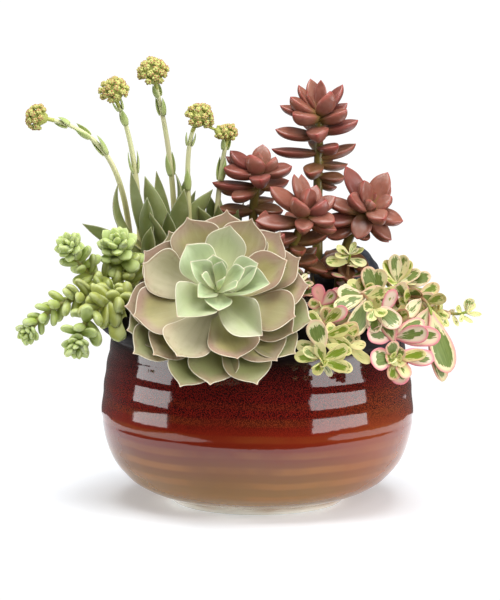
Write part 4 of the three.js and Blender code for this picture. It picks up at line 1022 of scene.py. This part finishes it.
# path, the way its end faces, how pink its edges are, the leaves by rule (turn of the first pair, lowest and
# last length, count, seed), and the leaves set one by one: share of the path, then right, back and up to the
# tip, and width
STONECROP_SHOOTS = [
    ([(64, 8, 136), (65, 10, 154), (66, 4, 170), (68, -3, 184)],
     (0, -0.8, 0.6), 0.1, (20, (15, 8), 8, 51), [
        (0.99, -10, -3, 7, 6), (0.97, -11, -4, 1, 5.5), (0.99, 10.5, -2, 5, 4.5), (0.86, -17, -4, 1, 9),
        (0.92, 12.5, -4, -4, 7.5), (0.86, 7, -6, -3, 4.5), (0.98, 4, 6, 9, 5), (0.8, 6, 12, 3, 8),
    ]),
    ([(62, -22, 135), (66, -26, 148), (78, -40, 158), (85, -50, 161)],
     (0.05, -0.9, 0.45), 0.4, (35, (20, 12), 8, 53), [
        (1, -6, -2, 22, 13), (1, 5.6, 0, 20, 12), (1, -5, -6, 10.5, 8), (1, 13, -6, 3, 6.5),
        (1, 20, -4, 5, 9.5), (1, -30, -7, 0.5, 12.5), (0.97, -15.5, -9, -28, 16), (1, 10.5, -8, -12, 10.5),
        (1, 19, -6, -20.5, 14.5), (0.9, -19, -4, -8, 10), (0.95, 3.5, -6, -16, 10), (0.95, 27, -2, -13, 9),
        (1, -3, -8, -3, 6), (1, 3, -8, 1, 6), (1, -1, -8, 3, 5), (0.8, -14, 6, 12, 10),
        (0.85, 10, 12, 8, 11), (0.8, 8, -12, -10, 11), (0.7, -12, -14, -4, 11), (0.9, -10, -4, 14, 9),
    ]),
    ([(46, -72, 134), (48, -92, 160), (49, -118, 150), (47, -130, 127)],
     (-0.1, -0.95, 0.3), 0.3, (50, (20, 12), 6, 57), [
        (1, -4, -5, 15, 9), (0.9, -8, -2, 23.5, 14.5), (0.98, 18, -5, 10, 10), (0.97, -15, -5, 8, 8),
        (1, -6, -5, -9, 8), (1, 18.5, -7, -4, 9), (0.97, 21, -4, -8, 9), (0.95, 16, -2, 1, 7),
        (1, -2, -8, 2, 6), (1, 3, -8, 0, 6), (1, 0, -8, -3, 5), (0.94, -21, 0, -1, 9.5),
        (0.9, -20, 4, 5, 9.5), (0.72, 18, -10, 8, 9), (0.66, 19, -8, -10, 9), (0.82, 20, -6, -5, 8),
        (0.6, -12, -4, 14, 8), (0.45, 12, -6, 12, 8),
    ]),
    ([(76, -46, 134), (91, -64, 164), (99, -92, 150), (99.5, -110, 126)],
     (0.05, -0.95, 0.3), 1.0, (20, (20, 13), 6, 61), [
        (0.8, -19.5, -6, 4, 14.5), (0.97, -18, -8, -4, 16.5), (0.8, 25, -6, 5, 13.5), (0.8, 34, 0, 1, 15),
        (1, -4, -6, 13, 11), (1, 22, -6, 4, 9), (0.96, 28, -3, -4, 13.5), (1, -7.5, -3, 1, 10),
        (1, 6, -3, 7, 9), (1, 6.5, -3, -5, 8.5), (1, -2, -6, -15.5, 10), (1, 9.5, -6, -13.5, 10),
        (0.94, 5, -2, -24, 15), (1, 5, -4, 1, 6.5), (1, -2, -4, -5, 7), (1, -3, -4, 4, 6.5),
        (0.86, -8, 6, 22, 12), (0.8, 22, 12, 10, 12), (0.7, -18, -10, 8, 10), (0.6, 14, -16, 10, 10),
    ]),
    ([(84, -8, 133), (92, -5, 148), (100, -2, 158), (103, -4, 163)],
     (0, -0.7, 0.7), 0.5, (60, (22, 15), 6, 67), [
        (1, -10, -2, 17, 8.5), (1, -3, -4, 22, 10.5), (1, 5.5, -2, 21, 10.5), (1, 17, -4, 9, 10.5),
        (0.97, 25, -5, 6, 12), (1, -9, -7, 3, 8), (0.92, 28, -6, -9, 8.5), (1, 2, 8, 18, 9),
        (0.95, 14, 12, 8, 10), (0.95, -14, 8, 6, 9), (0.9, 4, -12, 2, 8), (0.85, -6, -14, -4, 9),
        (0.8, 18, -12, -12, 10), (1, 10, 2, 16, 9), (0.7, -16, -6, 0, 10), (0.9, 14, -10, -4, 9),
    ]),
    ([(86, -28, 133), (96, -34, 160), (116, -50, 156), (129, -60, 153)],
     (0.25, -0.9, 0.4), 0.6, (30, (18, 12), 8, 71), [
        (0.97, -10, -4, 7, 7.5), (1, 4.5, -3, 12.5, 6.5), (0.98, -2, -6, -8, 6), (1, 9.5, -5, -6, 6.5),
        (1, 10, 2, -13, 6), (0.92, -15, 2, 9, 13), (1, -3, -6, 2, 4.5), (1, 4, -6, 3, 4.5),
        (1, 6, -6, -1, 4), (0.8, -18, -6, 5, 9), (0.7, -10, -12, -8, 10), (0.9, 6, 12, 6, 9),
    ]),
    ([(88, -12, 133), (100, -12, 180), (132, -20, 134), (153, -26, 145)],
     (0.3, -0.85, 0.4), 0.3, (10, (11, 7), 8, 73), [
        (1, 3, -3, 11, 8.5), (0.98, 12.5, -3, -1, 4), (0.92, 10, -4, -6, 3.5), (0.95, -4, -3, 6, 5),
        (0.97, -3, -5, -6, 4), (1, 6, 5, 6, 6), (0.85, 4, -4, -9, 4), (0.75, -3, -5, 8, 6),
    ]),
    ([(84, -36, 133), (104, -48, 168), (124, -66, 168), (126, -76, 152)], (0.2, -0.97, 0.1), 0.6, None, [
        (0.4, 12, -14, 8, 12), (0.45, -8, -10, 12, 11), (0.55, 16, -10, -2, 11), (0.3, -10, -12, -2, 10),
        (0.98, 13, -6, -43, 18), (0.97, 9, 0, -51, 13.5), (0.9, 10, 0, -17, 6), (0.8, 14, -10, 6, 9),
        (0.7, -12, -12, -10, 11), (0.6, 16, 4, 8, 10), (0.5, -6, -16, 4, 10), (0.9, -12, -6, -20, 12),
    ]),
    ([(-44, -4, 136), (-46, -6, 150), (-44, -10, 164), (-40, -14, 176)],
     (0, -0.7, 0.7), 0.3, (15, (24, 11), 10, 83), []),
    ([(48, -62, 136), (47, -68, 148), (46, -74, 154), (46.5, -78, 159)], (0, -0.95, 0.3), 2.2, None, [
        (1, -4, -3, 16, 10), (1, 10, -4, 11, 9), (1, 16, -5, 0, 7), (1, -10, -5, 3, 8), (1, 3, -6, -9, 7),
        (0.9, 13, -2, 8, 7), (0.9, -8, -6, -7, 7), (1, -2, -7, 2, 5), (0.95, 19, -2, -1, 10),
        (0.85, 10, -8, -8, 9), (0.8, 14, 4, 14, 9), (0.7, 20, 0, 4, 10),
    ]),
    ([(52, -58, 136), (52, -78, 150), (54, -98, 151), (64, -110, 136)], (0.1, -0.9, 0.4), 0.8, None, [
        (0.6, 18.5, -6, -10, 9), (1, 17, -4, -13, 8), (0.8, -10, -8, 6, 9), (0.9, 12, -6, 8, 9),
        (0.5, -8, -8, 12, 10), (0.7, 16, -8, 2, 10), (0.45, 14, -4, 8, 10), (1, 4, -8, 8, 8),
        (1, 14, -6, 0, 8), (0.3, 18, 2, 6, 10), (1, -4, -6, -8, 7),
    ]),
    ([(88, -20, 134), (98, -30, 150), (108, -48, 154), (116, -60, 146)],
     (0.2, -0.9, 0.4), 0.45, (40, (18, 12), 8, 91), [
        (1, -14, -6, 8, 10), (1, 14, -6, 10, 10), (1, 18, -4, -2, 9), (1, -10, -8, -10, 9),
        (1, 10, -8, -10, 9), (1, 0, -6, 14, 10), (1, 2, -10, 0, 6), (0.8, -18, -8, -2, 10),
        (0.8, 20, 4, 6, 10), (0.7, 0, -16, 6, 10),
    ]),
    ([(68, -46, 136), (70, -62, 172), (76, -84, 172), (84, -97, 160)], (0, -0.9, 0.45), 0.5, None, [
        (0.8, -11, -13, -25, 15), (0.95, 20, -8, -14, 15), (0.9, 4, -12, -20, 12), (0.7, -22, -8, -8, 12),
        (0.6, -18, -6, 2, 12), (1, 8, -10, -4, 9), (1, -8, -8, 4, 8), (1, 4, -6, 8, 8),
        (0.5, 18, -4, 2, 12), (0.75, 14, -12, 6, 10), (0.45, -12, -10, 6, 11), (1, -2, -10, -8, 8),
    ]),
]

LOW_SPOTS = [(10, -40), (-12, -20), (26, -14), (0, 30), (-4, 64), (34, 74)]  # short shoots in the middle
for spot, (x, y) in enumerate(LOW_SPOTS):
    path = [(x, y, 138), (x, y, 150), (x + 2, y - 2, 158), (x + 4, y - 4, 165)]
    STONECROP_SHOOTS.append((path, (0, -0.4, 0.9), 0.4, (spot * 25, (23, 10), 12, 101 + spot), []))
NODE_SHOOTS = 9  # the first nine stand for nodes of the model

variegated = Finish("stonecrop_leaf", Roughness=0.42, Subsurface_Weight=0.12, Subsurface_Scale=0.003)
along, across, age, chance, inset = leaf_values(variegated)
feather = streaks(variegated, along, across, chance, 7.0, 2.2)
veins = streaks(variegated, along, across, chance, 22.0, 4.0)
patch = variegated.cloud(75.0, 2.0)
border = inset - 0.3 - age * 0.6 - age.step(0.7, 1.05) * 1.5 - feather.step(0.35, 0.65) * 1.7
border = border - veins.step(0.4, 0.6) * 1.1 - patch.step(0.48, 0.62) * 2.4 + along.step(0.4, 0.1) * 0.8
middle = coats(
    (98, 116, 52), (chance.step(0.4, 0.8), (118, 140, 24)), (veins.step(0.4, 0.7) * 0.4, (142, 156, 86)),
)
variegated.wear("Base Color", coats(
    (214, 206, 164),
    (chance.step(0.0, 1.0), (210, 206, 134)),
    (age.step(0.7, 1.0), (218, 198, 176)),
    (age.step(1.2, 1.4) * chance.step(0.2, 0.4), (224, 152, 140)),
    (border.step(-0.25, 0.25) * age.step(1.4, 1.2), middle),
    (inset.step(2.8, -0.3) * age.step(0.05, 0.9) * patch.step(0.25, 0.45), (214, 112, 132)),
    (age.step(-0.2, -0.5), coats((142, 104, 70), (along.step(0.75, 0.97), (132, 150, 58)))),
))
variegated.bump(veins, 0.06, 0.001)

for number, (path, facing, blush, rule, leaves) in enumerate(STONECROP_SHOOTS, 1):
    rows = []
    if rule:
        start, length, count, seed = rule
        rows = leaf_rows(seed, count, 0.4, start, length, (8, 40), 1.8, 1.2, True)
    skins = shoot_skins(
        path, (1.6, 1.1), rows, PADDLE, 0.52, 0.07, 20, 16, number * 5, curl=12, cup=0.14, top=0.8, wave=0.03,
    )
    skins += set_leaves(
        path, facing, leaves, PADDLE, 0.1, 20, 16, number, blush, curl=16, cup=0.16, top=0.8, wave=0.035,
        tip_bend=0.5,
    )
    node = [f"stonecrop_shoot_{number}"] if number <= NODE_SHOOTS else []
    settle(plant(f"stonecrop_{number}", skins), variegated, "stonecrop", *node)

# ---- the studio ----
# A white table with a soft box on each side, a large soft light overhead and a dim room in front.

TABLE_HALF_WIDTH, TABLE_HALF_DEPTH, TABLE_FRONT = 0.36, 0.29, -0.25
deselect()
bpy.ops.mesh.primitive_grid_add(x_subdivisions=8, y_subdivisions=8, size=2)
table = bpy.context.object
table.name = "studio_table"
for vertex in table.data.vertices:
    vertex.co.x *= TABLE_HALF_WIDTH
    vertex.co.y = TABLE_FRONT + (vertex.co.y + 1) * TABLE_HALF_DEPTH
white = Finish(
    "white_table", Base_Color=(0.86, 0.89, 0.93), Roughness=0.7, Emission_Color=(1, 1, 1),
    Emission_Strength=0.2,
)
table.data.materials.append(white.material)


class Room(Finish):
    """The white room round the object. Its nodes set how bright each way looks."""

    def __init__(self, name):
        world = bpy.data.worlds.new(name)
        bpy.context.scene.world = world
        world.use_nodes = True
        self.tree = world.node_tree
        self.shader = self.tree.nodes["Background"]
        self.wear("Color", (1, 1, 1))


room = Room("studio_room")
depth = room.part(room.node("TexCoord", out="Generated"), 1)
dim = {"Value": depth, "From Min": -0.2, "From Max": 0.6, "To Min": 0.02, "To Max": 0.16}
soft = {0: room.node("LightPath", out="Is Diffuse Ray"), 2: room.node("MapRange", None, dim), 3: 0.2}
seen = {0: room.node("LightPath", out="Is Camera Ray"), 2: room.node("Mix", None, soft), 3: 1.05}
room.wear("Strength", room.node("Mix", None, seen))


def soft_light(name, place, aim, width, length, power, seen_in_gloss=True):
    lamp = bpy.data.lights.new(name, "AREA")
    lamp.shape = "RECTANGLE"
    lamp.size, lamp.size_y, lamp.energy = width, length, power
    light = bpy.data.objects.new(name, lamp)
    light.location = place
    light.rotation_euler = (Vector(aim) - Vector(place)).to_track_quat("-Z", "Y").to_euler()
    light.visible_glossy = seen_in_gloss
    light.visible_camera = False
    bpy.context.scene.collection.objects.link(light)


BOX_AWAY = 1.2
for name, side, width, power in (("soft_box_left", -83.7, 0.75, 7.5), ("soft_box_right", 61.9, 1.03, 11)):
    turn = math.radians(side)
    place = (BOX_AWAY * math.sin(turn), -BOX_AWAY * math.cos(turn), 0.36)
    soft_light(name, place, (0, 0, 0.3), width, 0.68, power)
soft_light("overhead", (0, -0.3, 1.6), (0, 0, 0.15), 1.2, 1.2, 34)
soft_light("front_fill", (0.8, -1.6, 1.2), (0, 0, 0.15), 1.0, 1.0, 14, False)

AIM = Vector((-0.0055, 0, 0.1494))
CAMERA_AWAY = 5.0
CAMERA_RISE = math.radians(9.8)
PICTURE_HEIGHT = 0.442  # of what the frame shows at the bowl
SENSOR = 36
lens = bpy.data.cameras.new("camera")
lens.sensor_width = SENSOR
lens.lens = SENSOR * CAMERA_AWAY / PICTURE_HEIGHT
camera = bpy.data.objects.new("camera", lens)
camera.location = AIM + CAMERA_AWAY * Vector((0, -math.cos(CAMERA_RISE), math.sin(CAMERA_RISE)))
camera.rotation_euler = (AIM - camera.location).to_track_quat("-Z", "Y").to_euler()
bpy.context.scene.collection.objects.link(camera)
bpy.context.scene.camera = camera
bpy.context.scene.view_settings.view_transform = "Standard"
